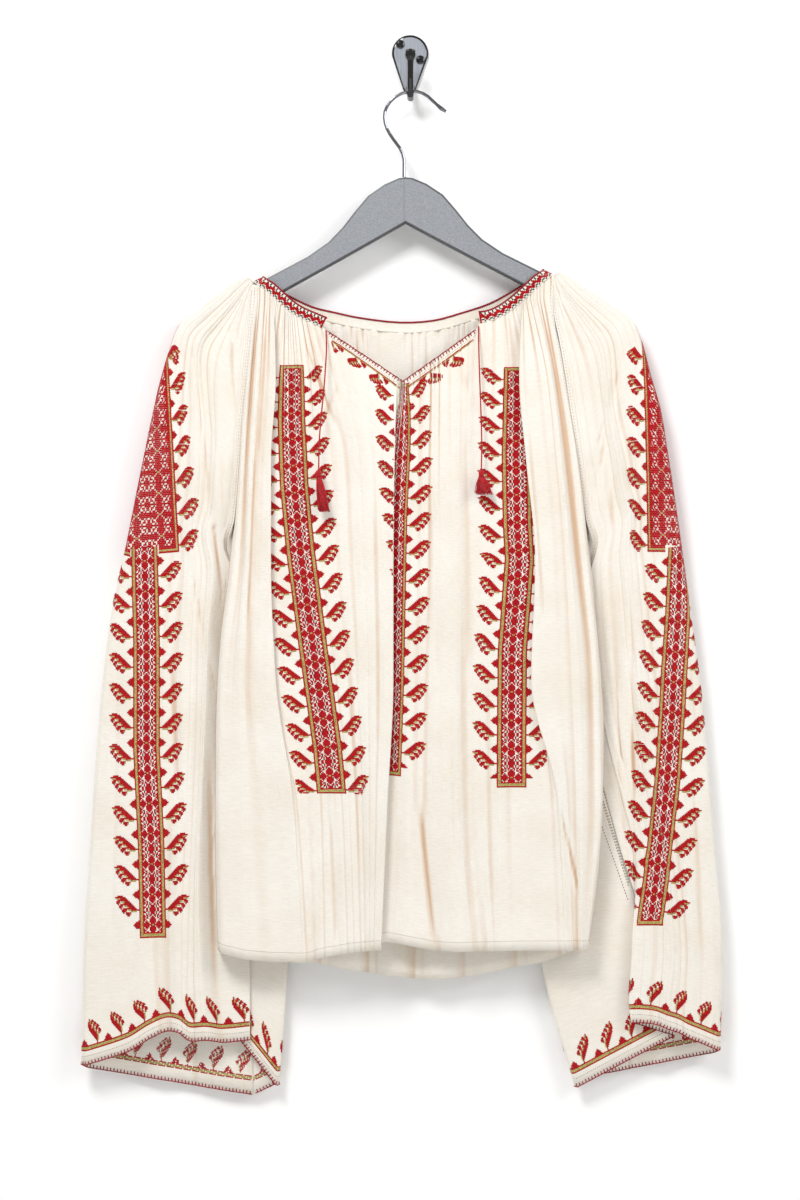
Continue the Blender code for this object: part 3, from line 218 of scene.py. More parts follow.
SLEEVE_RIGHT = Table(SLEEVE_COLUMNS, (
    (281, 554.0, 31.4, 554.0, 13.6, 556.4, 273.6, 31.6, 13.4),
    (289, 553.4, 31.8, 553.4, 13.5, 559.5, 271.8, 33.0, 12.2),
    (301, 552.8, 32.4, 552.8, 13.4, 569.0, 276.4, 34.0, 11.6),
    (319, 554.0, 33.3, 554.0, 13.8, 587.5, 288.8, 34.6, 11.2),
    (345, 559.0, 34.6, 559.0, 15.0, 610.0, 302.4, 35.0, 11.0),
    (380, 565.0, 36.4, 565.0, 17.0, 632.0, 318.6, 35.4, 11.0),
    (425, 572.0, 37.0, 572.0, 20.0, 642.0, 342.0, 35.0, 11.0),
    (470, 579.0, 34.4, 579.0, 23.0, 650.5, 374.0, 34.0, 11.0),
    (500, 583.0, 31.4, 583.0, 25.0, 661.5, 413.0, 33.0, 10.8),
    (522, 586.4, 29.4, 586.6, 26.2, 667.0, 447.0, 32.0, 10.6),
    (545, 593.4, 21.5, 593.4, 18.5, 672.0, 478.0, 31.0, 10.2),
    (580, 584.0, 18.0, 583.0, 14.0, 678.5, 522.0, 30.0, 9.8),
    (640, 582.0, 18.0, 577.0, 12.0, 690.0, 604.0, 29.0, 9.4),
    (730, 591.0, 18.0, 572.0, 11.5, 703.5, 706.0, 29.0, 9.0),
    (840, 618.0, 21.0, 568.0, 11.0, 714.6, 840.0, 30.0, 9.0),
    (950, 654.0, 22.5, 570.0, 10.5, 723.0, 953.0, 31.0, 9.0),
    (1037, 676.0, 23.5, 586.0, 10.0, 720.5, 1052.0, 32.0, 9.0)))

# Folds of a sleeve. "share" is the part of the way from the seam to the outer fold.
SLEEVE_HEIGHTS = (301, 380, 470, 545, 640, 840, 950, 1040)
SLEEVE_LIFT_HEIGHTS = (301, 470, 640, 950)
LEFT_FRONT_FOLDS = (
    ("cuff pleat roll", None, None, 0, 1),
    ("cuff pleat edge", (0.10, 0.06, 0.05, 0.05, 0.06, 0.03, -0.055, -0.065),
     (0, -1, -10.5, -8), 0, 1),
    ("underarm slope", (0.2, 0.14, 0.12, 0.12, 0.18, 0.20, 0.16, 0.10), (-1, 0, -9, -7.5), 0, 1),
    ("armhole fold", (0.33, 0.36, 0.26, 0.22, 0.28, 0.30, 0.26, 0.20), (1.5, 2, -1, 2), -6, 2),
    ("long crease", (0.45, 0.60, 0.38, 0.30, 0.33, 0.33, 0.31, 0.31), (-1.5, -3, -2.5, 0), -8, 2),
    ("middle ridge", (0.56, 0.70, 0.52, 0.42, 0.43, 0.42, 0.40, 0.38), (1, 1.5, 1, 2), -18, 1),
    ("inner crease", (0.67, 0.79, 0.66, 0.54, 0.54, 0.52, 0.50, 0.46), (-1, -1, -1.5, -2), -21, 1),
    ("embroidered ridge", (0.79, 0.87, 0.79, 0.70, 0.68, 0.66, 0.62, 0.56), (0.5, 0, 0.5, 1), -17, 1),
    ("outer trough", (0.88, 0.93, 0.90, 0.86, 0.84, 0.82, 0.78, 0.70), (0, 0, 0, -1), -7, 1),
    ("outer roll", (0.965, 0.975, 0.975, 0.975, 0.975, 0.975, 0.975, 0.965), (-3, -3, -4, -5), 0, 1))
LEFT_BACK_FOLDS = (
    ("outer roll", (0.965, 0.975, 0.975, 0.975, 0.975, 0.975, 0.975, 0.965), (3, 3, 3, 3), 3, 1),
    ("outer trough", (0.86, 0.88, 0.86, 0.84, 0.82, 0.80, 0.78, 0.76), (-0.5, -1, -1.5, -1.5), 3, 1),
    ("long ridge", (0.68, 0.70, 0.66, 0.62, 0.60, 0.60, 0.58, 0.56), (0.8, 1.5, 2, 2), 2, 1),
    ("long crease", (0.5, 0.52, 0.48, 0.44, 0.42, 0.40, 0.40, 0.38), (-0.5, -1.5, -2, -2), 2, 2),
    ("armhole ridge", (0.3, 0.33, 0.30, 0.26, 0.24, 0.22, 0.20, 0.18), (0.8, 1.5, 1.2, 2), 1, 2))
RIGHT_FRONT_FOLDS = (
    ("cuff pleat roll", None, None, -14, 1),
    ("cuff pleat edge", (0.10, 0.08, 0.07, 0.07, 0.09, 0.17, -0.31, -1.01), (0, -1, -10, -1), -14, 2),
    ("seam slope", (0.22, 0.22, 0.20, 0.20, 0.24, 0.27, -0.10, -0.72), (-1, -1, -8, 0.5), -14, 1),
    ("first crease", (0.36, 0.40, 0.36, 0.34, 0.38, 0.37, 0.10, -0.44), (1, -2.5, -3, -1), -12, 2),
    ("first ridge", (0.46, 0.52, 0.45, 0.46, 0.48, 0.46, 0.27, -0.2), (-1.5, 2.5, 1, 2), -8, 2),
    ("second crease", (0.56, 0.64, 0.53, 0.56, 0.58, 0.56, 0.42, 0.06), (1.5, -2, -2, -1), -5, 1),
    ("second ridge", (0.67, 0.74, 0.66, 0.66, 0.68, 0.66, 0.56, 0.3), (-1, 1.5, 1, 1.5), -3, 1),
    ("embroidered trough", (0.78, 0.83, 0.78, 0.77, 0.78, 0.76, 0.71, 0.54), (0.5, 0, -0.5, -1), -2, 1),
    ("outer trough", (0.88, 0.91, 0.89, 0.88, 0.88, 0.87, 0.85, 0.77), (0, 0, 0, -0.5), -1, 1),
    ("outer roll", (0.965, 0.975, 0.975, 0.975, 0.975, 0.975, 0.965, 0.93), (-3, -3, -4, -5), 0, 1))
RIGHT_BACK_FOLDS = LEFT_BACK_FOLDS

# The underarm gores close the sleeves. Each row is one height, with the inner edge.
GORE_LEFT = Table("down inner_across inner_out", (
    (545, 236.0, 17.6), (580, 251.0, 15.6), (640, 258.0, 14.6), (730, 266.0, 14.4),
    (840, 274.0, 14.4), (950, 287.0, 15.0), (1000, 285.0, 15.0), (1087, 278.0, 15.0)))
GORE_RIGHT = Table("down inner_across inner_out", (
    (545, 585.0, 17.6), (580, 570.0, 15.6), (640, 562.0, 14.6), (730, 553.0, 14.4),
    (840, 546.0, 14.4), (950, 541.0, 15.0), (1000, 550.0, 15.0), (1087, 576.0, 15.0)))

LONG_GATHER = 0.3             # height of a gather's wave all the way down
NECK_GATHER = 0.45            # and what the gathered neck adds to it
GATHER_FADE = 90.0            # distance over which the neck's share dies away
STITCHED_GATHER = 0.6         # height of a gather where the band holds it
NECK_REACH = 14.0             # how far down the band holds the panel to its own depth
WIDE_GATHER = 6.0             # a narrower gather is lower in proportion
SLEEVE_TOP_FLAT = 30.0        # a sleeve's gathers grow from the top over this distance
CUFF_START = 900.0            # row from which the two layers of a cuff part
HEM_CURVE = 1.5               # power of the curve by which a hem leaves the level rows
FOLD_FULL_WIDTH = 70.0        # a narrower sleeve has lower folds in proportion
SLEEVE_OPENS = 9.0            # row distance over which the folded sleeve's top opens
PLEAT_ROLL = 0.35             # how soon a pleat turns under, as a share of its depth
PLEAT_TURN = 2.5              # and in millimetres at most
PLEAT_DROP = 0.65             # how far it has sunk by then
GORE_TUCK = 1.9               # how far the gore's seam lies under the sleeve at the cuff
GORE_TUCK_START = 800.0       # row where it starts to go under
GORE_ROLL = 2.2               # half the depth of its rolled inner edge
GORE_HEM = {-1.0: 1087.0, 1.0: 1089.0}
BACK_HEM_DROP = {-1.0: 57.0, 1.0: 43.0}   # the back of a cuff hangs below the front

# Centre line of the collar band, from one end of the slit round the neck to the other.
# "turn" is how far the band's lower edge leans outward, in degrees. Where "down" is None
# the band rests on the hanger's arm.
COLLAR_PATH = (
    (324.6, 323.0, 32.4, 24), (313.5, 318.2, 32.4, 27), (300.8, 312.6, 32.2, 33),
    (289.4, 305.1, 32.0, 42), (279.0, 295.6, 31.8, 47), (270.0, 287.4, 32.0, 52),
    (262.6, 282.6, 31.7, 60), (259.2, None, 28.6, 63), (258.6, None, 22.0, 63),
    (259.4, None, 15.4, 63), (264.0, 285.0, 12.6, 56), (274.0, 291.6, 12.9, 42),
    (285.0, 298.5, 13.2, 34), (309.0, 310.0, 13.2, 22), (332.0, 315.8, 13.0, 15),
    (360.5, 321.8, 13.0, 8), (400.0, 326.2, 13.0, 0), (434.4, 324.2, 13.0, -8),
    (463.0, 316.6, 13.0, -17), (491.8, 307.0, 13.2, -24), (514.8, 294.6, 13.2, -32),
    (530.5, 284.5, 12.9, -42), (542.0, 277.2, 12.6, -56), (547.4, None, 15.4, -63),
    (548.2, None, 22.0, -63), (547.6, None, 28.6, -63), (544.4, 275.4, 31.7, -60),
    (537.8, 280.0, 32.0, -52), (529.7, 287.6, 31.8, -47), (521.7, 295.0, 32.0, -42),
    (512.5, 302.8, 32.2, -38), (501.0, 310.8, 32.4, -30), (489.6, 315.8, 32.4, -18),
    (479.0, 317.6, 32.4, -8))
SLIT_POINT = (403.0, 381.5)
TIE_ROUTES = {                # across, down and out along each tie's centre
    "tie_left": ((326.2, 330.5, 35.0), (326.8, 350, 42.0), (325.8, 370, 46.5),
                 (324.3, 392, 49.0), (321.9, 416, 51.0), (319.8, 444, 52.6),
                 (319.3, 471.0, 53.4)),
    "tie_right": ((478.4, 326.5, 34.3), (478.5, 348, 41.0), (479.0, 370, 44.5),
                  (479.7, 391.5, 47.0), (480.6, 418, 49.2), (481.2, 444, 50.8),
                  (480.8, 471.0, 51.8))}
TASSELS = {                   # across and down of the foot, and its half-width
    "tassel_left": (324.5, 514.0, 6.0), "tassel_right": (483.0, 497.0, 9.5)}

# Cloth as it is shown
HALF_CLOTH = 0.36             # half the thickness of the shown gauze
BAND_COVER = 1.0              # how far the gathered edge goes into the collar band
DEPTH_MIDDLE = 22.5           # depth of the hanger's plane, between front and back
FOLD_SHADE_WINDOW = 7               # columns over which the depth of a fold is judged, for the painted shade in its trough
FOLD_SHADE_PITCH = 1.7            # run of a column above which a trough gets less painted shade
FINE_ROWS = 100
PANEL_COLUMNS = 6             # grid columns to a gather of the front and back
SLEEVE_COLUMNS_FINE = 9       # and of a sleeve
GORE_COLUMNS = 4
FINE_GATHERS = 2.0            # small gathers to each large one
FRONT_GATHER = 1.6            # height of the small gathers at the neck
BACK_GATHER = 2.2
SLEEVE_GATHER = 0.6
PANEL_GATHER_FADE = 55.0      # distance over which they die away
SLEEVE_GATHER_FADE = 50.0
REST_GATHER = 0.04            # what is left of them lower down
CRINKLE_HEIGHT = 0.14
RIGHT_TOP_SHIFT = -5.0        # how much higher the right sleeve's seam starts
COLLAR_ROWS = 8
COLLAR_MIDDLE = (403.0, 22.5) # across and out of the middle of the neck

# Embroidery
STITCH_SUNK = 0.05            # how deep a stitch lies in the cloth
STITCH_HEIGHT = 0.4
CROSS = 1.25                  # width of a counted cross
BORDER = 4                    # stitches in the border of a band
BORDER_LETTERS = "RGGR"
BLOCK_BORDER = "RGRR"         # and in that of a shoulder block
LEAF_CROSS = 1.36             # width of a cross in the leaf beside a band
STITCH_OVERLAP = 1.12         # size of a stitch as a share of its place
TILT_LIMIT = 0.5              # rows that a stitch line may climb in each millimetre
CREASE_SHARE = 1.5            # strength of the creases as a share of their stated depth
SEAM_INSET = 2.2              # drawn-thread dashes: from the seam, from dash to dash, size
SEAM_PITCH = 3.3
SEAM_DASH = (0.9, 0.6, 0.25)
SEAM_LAST_ROW = 60            # grid row where the dashes end
FLOWER_PITCH = 28.4           # from flower to flower of a front band
GATHERED_PITCH = 4.3          # how much closer the first ones lie
TICK_PITCH = 3.5
TICK_LONG = 3.7
TICK_WIDE = 1.0
DASH_PITCH = 3.0
HEM_DOT_PITCH = 2.2
WAVE_UNIT = 1.0 / 20.0 * math.pi   # a wave texture has 20 / pi ridges at scale 1

# Ties and tassels
TIE_STATIONS = 330
TWIST_PITCH = 4.2
TASSEL_STRANDS_SHOWN = 90
GOLDEN_ANGLE = math.pi * (3 - math.sqrt(5))

# The stage, in metres
WALL_BACK = 0.0008            # a hair behind the plate
WALL_TOP = 3
FLOOR_LEVEL = -1.75
FLOOR_FRONT = -6
STAGE_SIDE = 4
CAMERA_PLACE = (-0.010, -3.03, -0.544)
CAMERA_LENS = 90.0
LIGHTS_AIM = (0.0, 0.0, -0.55)
LIGHTS = (                    # name, place, diameter, watts
    ("key", (-0.9, -1.9, 1.3), 0.9, 47.0), ("side", (1.7, -1.5, 0.4), 1.2, 17.0),
    ("low", (0.2, -2.6, -1.5), 1.6, 6.0))
WORLD_STRENGTH = 0.42

# Creases to press in, given one by one: from across and down, to across and down, half width, depth.
# A negative depth raises a ridge.
FRONT_CREASES = (
    (299.7, 328, 340, 436, 2.2, 1.1), (309, 326, 352, 446, 3.6, -0.6),
    (271, 632, 289, 749, 2.4, 1.0), (262, 640, 276, 760, 3.0, -0.5),
    (419, 796, 434, 952, 3.4, 1.4), (407, 812, 418, 950, 4.2, -0.8),
    (558, 804, 580.5, 900, 2.6, 1.2), (350, 620, 362, 900, 5.0, 0.9),
    (466, 420, 470, 700, 6.0, 0.7), (452, 560, 462, 930, 5.0, -0.7),
    (484, 640, 492, 940, 5.5, 0.9), (374, 480, 378, 760, 5.0, 0.6),
    (331, 800, 338, 955, 4.0, 1.0), (527, 420, 545, 640, 3.0, 0.7),
    (430, 470, 436, 700, 5.0, 0.6), (256, 430, 247, 640, 2.6, 0.8),
    (345, 372, 318, 430, 3.2, 0.6), (460, 368, 492, 440, 3.6, 0.5))
BACK_CREASES = (
    (300, 330, 318, 620, 3.4, 1.2), (338, 340, 352, 700, 4.2, 1.0),
    (382, 345, 394, 640, 4.0, 1.1), (420, 345, 424, 760, 4.6, 0.9),
    (466, 340, 470, 640, 4.0, 1.1), (506, 330, 520, 690, 3.8, 1.2),
    (284, 560, 268, 930, 4.4, 1.0), (330, 700, 338, 955, 5.0, 1.1),
    (400, 690, 414, 965, 5.0, 1.2), (452, 660, 462, 960, 4.6, 1.0),
    (500, 700, 520, 950, 5.0, 1.1), (556, 560, 566, 930, 4.2, 1.0),
    (362, 520, 372, 900, 5.6, -0.8), (536, 400, 548, 640, 3.4, 0.8))
LEFT_SLEEVE_CREASES = (
    (191.6, 333, 223.4, 617, 2.6, 1.1), (199, 340, 232, 620, 3.8, -0.6),
    (187.6, 550, 215.5, 699.5, 2.6, 1.0), (170, 640, 186, 900, 4.2, 0.9),
    (205, 720, 216, 1000, 4.6, 1.0), (120, 640, 112, 980, 5.0, 0.7),
    (228, 300, 236, 420, 3.0, 0.7), (150, 360, 164, 560, 5.0, 0.5))
RIGHT_SLEEVE_CREASES = (
    (626, 345, 582, 497, 2.6, 1.1), (615.7, 386, 587, 522, 2.8, 1.0),
    (621, 413, 607, 560, 4.0, 0.7), (551.6, 283, 567.8, 305, 2.0, 0.7),
    (631, 553, 636.4, 928, 3.0, 1.2), (622, 600, 626, 860, 4.2, -0.6),
    (690, 640, 702, 980, 4.6, 0.8), (660, 420, 652, 600, 4.6, 0.5))

# Places of the embroidery, as down and across of each band's middle
LEFT_BAND = ((365, 292), (417, 291.8), (484, 294.5), (551, 300.8), (650, 313.9), (749, 328),
             (792, 332))
CENTRE_BAND = ((383, 403), (449, 400.4), (513, 396.6), (560, 395.6), (682, 393.3), (774, 390.2))
RIGHT_BAND = ((367, 517.2), (457, 515.5), (524, 516.6), (560, 518.6), (652, 511.4), (744, 510.7),
              (787, 510.7))
LEFT_SLEEVE_BAND = ((555, 144.6), (642, 146.5), (750, 146.5), (845, 151.2), (937, 153.1))
RIGHT_SLEEVE_BAND = ((552, 680), (614, 678.4), (670, 674.2), (709, 672.3), (773, 668), (837, 661),
                     (883, 655.8), (921, 650))
LEFT_SHOULDER_EDGE = ((330, 167.4), (351, 168), (548, 179))
RIGHT_SHOULDER_EDGE = ((326, 641), (342, 641.3), (374, 643.4), (421.6, 645), (469, 646),
                       (546, 647.4))
SHOULDER_TILES = 4            # flowers across a shoulder block
SHOULDER_TILE = (24.0, 21.3)  # width and height of a tile
SHOULDER_BOTTOM = 551.0
BLOCK_EVEN_ROWS = 14          # rows on each side over which a block row's tilt is averaged
BLOCK_TURN = 48.0             # run from a block's edge past which its rows go straight round
SHOULDER_ROWS = 10            # tiles down a shoulder block
SLEEVE_BAND_PITCH = 30.3
SLEEVE_BAND_CROSS = 1.1
BLOCK_LEAF_PITCH = 31.4
BLOCK_LEAF_TOP = 342.0        # down value of the first leaf beside a block
CUFF_BORDER = 14.6            # height of the cuff's border above its edge
CUFF_LINE = 1.3               # width of each of its lines
CUFF_REPEAT = 27.0            # run of a leaf and a tooth along a cuff
CUFF_LEAF_WIDE = 1.0          # pitch of a cuff leaf's stitches along the edge
CUFF_LEAF_TALL = 1.45         # and away from it
CUFF_LEAF_FIRST = 0.6         # share of a repeat before the first leaf
CUFF_TOOTH_SHARE = 0.42       # and between a leaf and its tooth
CUFF_END = 0.8                # bare run at each end of a cuff
RIGHT_GORE_SEAMS = ((605.6, 786.5, 630.0, 860), (604.3, 802.5, 629.5, 883),
                    (604.0, 805.5, 628.8, 886), (603, 828, 628.4, 900))
SLIT_BORDER = 9.0             # from the slit's edge to its border
SLIT_ENDS = (327.5, 476.0)    # across values of its two ends
SLIT_REPEAT = 29.0            # run of a leaf and a tooth along the slit
SLIT_FIRST = 35.0             # run from the slit's point to the first leaf
SLIT_LEAF_WIDE = 1.3
SLIT_LEAF_TALL = 0.85
SLIT_TOOTH_BACK = 14.0        # run from a leaf back to its tooth
PLEAT_LEAVES = ((383, 393), (430, 394), (460, 399), (490, 403), (522, 407.5), (552, 412),
                (583, 416))


def place(across, down, out):
    """World position of a point given on the sheet."""
    return Vector(((across - SHEET_ACROSS) * MM, -out * MM, (SHEET_DOWN - down) * MM))


def place_all(points):
    """World positions of an array of sheet points."""
    points = np.asarray(points, dtype=float)
    return np.stack([(points[..., 0] - SHEET_ACROSS) * MM, -points[..., 2] * MM,
                     (SHEET_DOWN - points[..., 1]) * MM], axis=-1)


def turn_all(vectors):
    """World directions of an array of sheet directions."""
    return np.stack([vectors[..., 0], -vectors[..., 2], -vectors[..., 1]], axis=-1)


def resample(route, count):
    """Evenly spread points on a smooth curve through a route."""
    fine = 40
    dense = [across_section(route, i / fine) for i in range((len(route) - 1) * fine + 1)]
    lengths = [0.0]
    for a, b in zip(dense, dense[1:]):
        lengths.append(lengths[-1] + (b - a).length)
    out = []
    for k in range(count):
        goal = lengths[-1] * k / (count - 1)
        i = min(max(n for n, run in enumerate(lengths) if run <= goal + 1e-9), len(dense) - 2)
        t = (goal - lengths[i]) / max(lengths[i + 1] - lengths[i], 1e-9)
        out.append(dense[i].lerp(dense[i + 1], min(t, 1.0)))
    return out


def arm_top(across):
    """Height of the hanger arm's top edge, as the down value, with the hanger's tilt."""
    distance = abs(across - HANGER_CENTRE)
    level = ARM_START[1] + (distance - ARM_START[0]) * ARM_SLOPE
    return level - (across - HANGER_CENTRE) * math.tan(HANGER_TILT)


def collar_stations():
    """Centre, lean and depth of the collar band at each station of its path."""
    rest = COLLAR_THICK / 2 / math.cos(math.atan(ARM_SLOPE)) + GAP
    return [(across, arm_top(across) - rest if down is None else down, out, math.radians(turn))
            for across, down, out, turn in COLLAR_PATH]


def collar_edge(station, reach):
    """Point on the band's width, reach millimetres from its centre line."""
    across, down, out, turn = station
    return (across - math.sin(turn) * reach, down + math.cos(turn) * reach, out)


def neckline(front):
    """Upper edge of a panel: where it meets the collar band, and the slit in front."""
    reach = COLLAR_WIDTH / 2 - BAND_COVER
    stations = collar_stations()
    if not front:
        return [collar_edge(s, reach) for s in stations[10:23]]
    left = [collar_edge(s, reach) for s in reversed(stations[:7])]
    right = [collar_edge(s, reach) for s in reversed(stations[-9:])]
    slit = [(326.5, 330.5, 33.0), (365.0, 356.0, 35.0), (*SLIT_POINT, 37.0),
            (441.0, 354.5, 35.0), (476.5, 329.0, 33.0)]
    return left + slit + right


def roll_pleats(folds, points):
    """Fill in the points that turn a pleat's edge under, beside the edge itself."""
    for i, fold in enumerate(folds):
        if "pleat roll" in fold[0]:
            after_edge = "pleat edge" in folds[i - 1][0]
            edge, tuck = Vector(points[i - 1]), Vector(points[i + 1])
            if not after_edge:
                edge, tuck = tuck, edge
            depth = (tuck - edge).length
            turned = edge.lerp(tuck, min(PLEAT_ROLL, PLEAT_TURN / max(depth, PLEAT_TURN)))
            turned[-1] = edge[-1] + (tuck[-1] - edge[-1]) * PLEAT_DROP
            points[i] = tuple(turned)
    return points


def edge_at(edge, across):
    """Down and out values of an upper edge at an across value."""
    for a, b in zip(edge, edge[1:]):
        if a[0] <= across <= b[0]:
            t = (across - a[0]) / (b[0] - a[0])
            return a[1] + (b[1] - a[1]) * t, a[2] + (b[2] - a[2]) * t
    end = edge[0] if across < edge[0][0] else edge[-1]
    return end[1], end[2]


def uneven(number):
    """A share between 0.35 and 1 that differs from gather to gather."""
    return 0.675 + 0.325 * math.sin(number * 2.4 + 1.3 * math.sin(number * 0.9))


def gather_phase(folds, line_place):
    """Number of gathers between the first line and a place among the lines."""
    i = min(int(line_place), len(folds) - 1)
    before = sum(fold[-1] for fold in folds[:i])
    return before + folds[i][-1] * (line_place - i)


def row_down(row, top, hem, last):
    """Down value of a row on a line whose ends differ from the side seam's."""
    rise = (top - ROWS[0]) * max(0.0, 1 - (row - ROWS[0]) / (ARMHOLE_END - ROWS[0]))
    fall = max(0.0, (row - ARMHOLE_END) / (last - ARMHOLE_END))
    return row + rise + (hem - last) * fall ** HEM_CURVE


class Panel:
    """Front or back: fold lines between two side seams, under a gathered neckline."""

    def __init__(self, folds, heights, lift_heights, base, front):
        seam_row = ("seam", None, None, ROWS[-1], folds[0][-1])
        self.folds = (seam_row,) + tuple(folds) + (seam_row,)
        self.heights = heights
        self.lift_heights = lift_heights
        self.base = base
        self.side = "front_out" if front else "back_out"
        self.sign = 1.0 if front else -1.0
        self.edge = neckline(front)

    def section(self, down):
        seam_out = SEAMS.at(self.side, down)
        points = [(SEAMS.at("left_across", down) + SEAM_GAP, seam_out)]
        for fold in self.folds[1:-1]:
            if fold[1] is None:
                points.append(None)
                continue
            lift = smooth(self.lift_heights, fold[2], down)
            out = self.base.at("out", down) + lift
            points.append((smooth(self.heights, fold[1], down), out))
        points.append((SEAMS.at("right_across", down) - SEAM_GAP, seam_out))
        return roll_pleats(self.folds, points)

    def on_line(self, line_place, down):
        return across_section(self.section(down), line_place)

    def top(self, line_place):
        """Where a line starts, on the neckline."""
        low, high = 262.0, 400.0
        for _ in range(14):
            middle = (low + high) / 2
            if middle < edge_at(self.edge, self.on_line(line_place, middle).x)[0]:
                low = middle
            else:
                high = middle
        return (low + high) / 2

    def point(self, row, line_place, top):
        i = min(int(line_place), len(self.folds) - 2)
        t = line_place - i
        hem = self.folds[i][3] * (1 - t) + self.folds[i + 1][3] * t
        down = row_down(row, top, hem, ROWS[-1])
        across, out = self.on_line(line_place, down)
        below = max(0.0, down - top)
        phase = gather_phase(self.folds, line_place)
        ends = min(1.0, line_place, len(self.folds) - 1 - line_place)
        line = self.section(down)
        run = (Vector(line[i + 1]) - Vector(line[i])).length / self.folds[i][-1]
        wave = uneven(round(phase)) * math.cos(2 * math.pi * phase) * ends
        wave *= min(1.0, run / WIDE_GATHER)
        out += self.sign * wave * (LONG_GATHER + NECK_GATHER * math.exp(-below / GATHER_FADE))
        edge_out = edge_at(self.edge, across)[1]
        near = math.exp(-(below / NECK_REACH) ** 2) * min(1.0, ends)
        return across, down, out * (1 - near) + (edge_out + wave * STITCHED_GATHER) * near


class Sleeve:
    """One rolled sheet from the front seam round the outer fold to the back seam."""

    def __init__(self, table, front_folds, back_folds, top_shift):
        self.table = table
        self.front_folds = front_folds
        self.back_folds = back_folds
        self.top_shift = top_shift
        outer = ("outer fold", None, None, 0, 1)
        seam = ("seam", None, None, 0, 1)
        self.folds = (seam,) + tuple(front_folds) + (outer,) + tuple(back_folds) + (seam,)
        self.last = table.keys[-1]

    def layer(self, folds, row, seam, out, middle, fold_across, fold_down, base):
        """Points of one layer, from its seam side to the outer fold."""
        across0, down0 = seam
        points = []
        fall = max(0.0, (row - CUFF_START) / (self.last - CUFF_START)) ** HEM_CURVE
        for fold in folds:
            if fold[1] is None:
                points.append(None)
                continue
            share = smooth(SLEEVE_HEIGHTS, fold[1], row)
            lift = smooth(SLEEVE_LIFT_HEIGHTS, fold[2], row)
            open_out = min(1.0, (row - ROWS[0]) / SLEEVE_OPENS)
            wide = math.hypot(fold_across - across0, fold_down - down0)
            lift *= min(1.0, wide / FOLD_FULL_WIDTH)
            straight = out + (middle - out) * share
            depth = straight + (base + lift - straight) * open_out
            points.append((across0 + (fold_across - across0) * share,
                           down0 + (fold_down - down0) * max(share, 0.0) + fold[3] * fall,
                           depth))
        return points

    def section(self, row):
        value = self.table.at
        upper = max(0.0, 1 - (row - ROWS[0]) / (ARMHOLE_END - ROWS[0]))
        seam_down = row + self.top_shift * upper
        side = -1.0 if value("fold_across", row) < value("seam_across", row) else 1.0
        spread = max(0.0, (row - CUFF_START) / (self.last - CUFF_START)) ** HEM_CURVE
        back_down = seam_down + BACK_HEM_DROP[side] * spread
        fold_across, fold_down = value("fold_across", row), value("fold_down", row)
        start = (value("seam_across", row) + side * SEAM_GAP, seam_down, value("seam_out", row))
        end = (value("back_across", row) + side * SEAM_GAP, back_down, value("back_out", row))
        depth = (value("front", row) + value("back", row)) / 2
        front = self.layer(self.front_folds, row, start[:2], start[2], depth, fold_across,
                           fold_down, value("front", row))
        back = self.layer(self.back_folds, row, end[:2], end[2], depth, fold_across,
                          fold_down, value("back", row))
        points = [start] + front + [(fold_across, fold_down, depth)] + back + [end]
        return roll_pleats(self.folds, points)

    def point(self, row, line_place):
        across, down, out = across_section(self.section(row), line_place)
        phase = gather_phase(self.folds, line_place)
        ends = min(1.0, line_place, len(self.folds) - 1 - line_place)
        wave = uneven(round(phase) + 7) * math.cos(2 * math.pi * phase) * ends
        below = row - ROWS[0]
        height = LONG_GATHER + NECK_GATHER * math.exp(-below / GATHER_FADE)
        return across, down, out + wave * height * min(1.0, below / SLEEVE_TOP_FLAT)


def gore_section(sleeve, table, row):
    """From the front seam round the inner edge to the back seam, at one row of the sleeve."""
    ends = sleeve.section(row)
    start, end = ends[0], ends[-1]
    side = -1.0 if ends[len(sleeve.front_folds) + 1][0] < start[0] else 1.0
    fall = max(0.0, (row - CUFF_START) / (sleeve.last - CUFF_START))
    down = row + (GORE_HEM[side] - sleeve.last) * fall
    inner = (table.at("inner_across", down), down, table.at("inner_out", down))
    tucked = GORE_TUCK * min(1.0, max(0.0, (row - GORE_TUCK_START) / 80.0))
    start = Vector(start) - Vector((2 * side * SEAM_GAP, 0, tucked))
    end = Vector(end) - Vector((2 * side * SEAM_GAP, 0, 0))
    inner = Vector(inner)
    front_roll = inner + Vector((side * 3.0, 0, GORE_ROLL))
    back_roll = inner + Vector((side * 3.0, 0, -GORE_ROLL))
    return [start, start.lerp(front_roll, 0.35), start.lerp(front_roll, 0.7), front_roll, inner,
            back_roll, end.lerp(back_roll, 0.7), end.lerp(back_roll, 0.35), end]


SECTION_STEP = 2.0            # distance between the sections that a fine panel is drawn from


class Between:
    """Section that lies a share of the way between two others, point by point."""

    def __init__(self, low, high, share):
        self.low = low
        self.high = high
        self.share = share

    def __len__(self):
        return len(self.low)

    def __getitem__(self, i):
        return self.low[i].lerp(self.high[i], self.share)


class FineSections:
    """Keeps the sections of a panel or sleeve, so that a fine grid is quick to draw."""

    def section(self, at):
        kept = self.__dict__.setdefault("kept", {})
        number = math.floor(at / SECTION_STEP)
        for n in (number, number + 1):
            if n not in kept:
                kept[n] = [Vector(p) for p in super().section(n * SECTION_STEP)]
        return Between(kept[number], kept[number + 1], at / SECTION_STEP - number)


class FinePanel(FineSections, Panel):
    pass


class FineSleeve(FineSections, Sleeve):
    pass


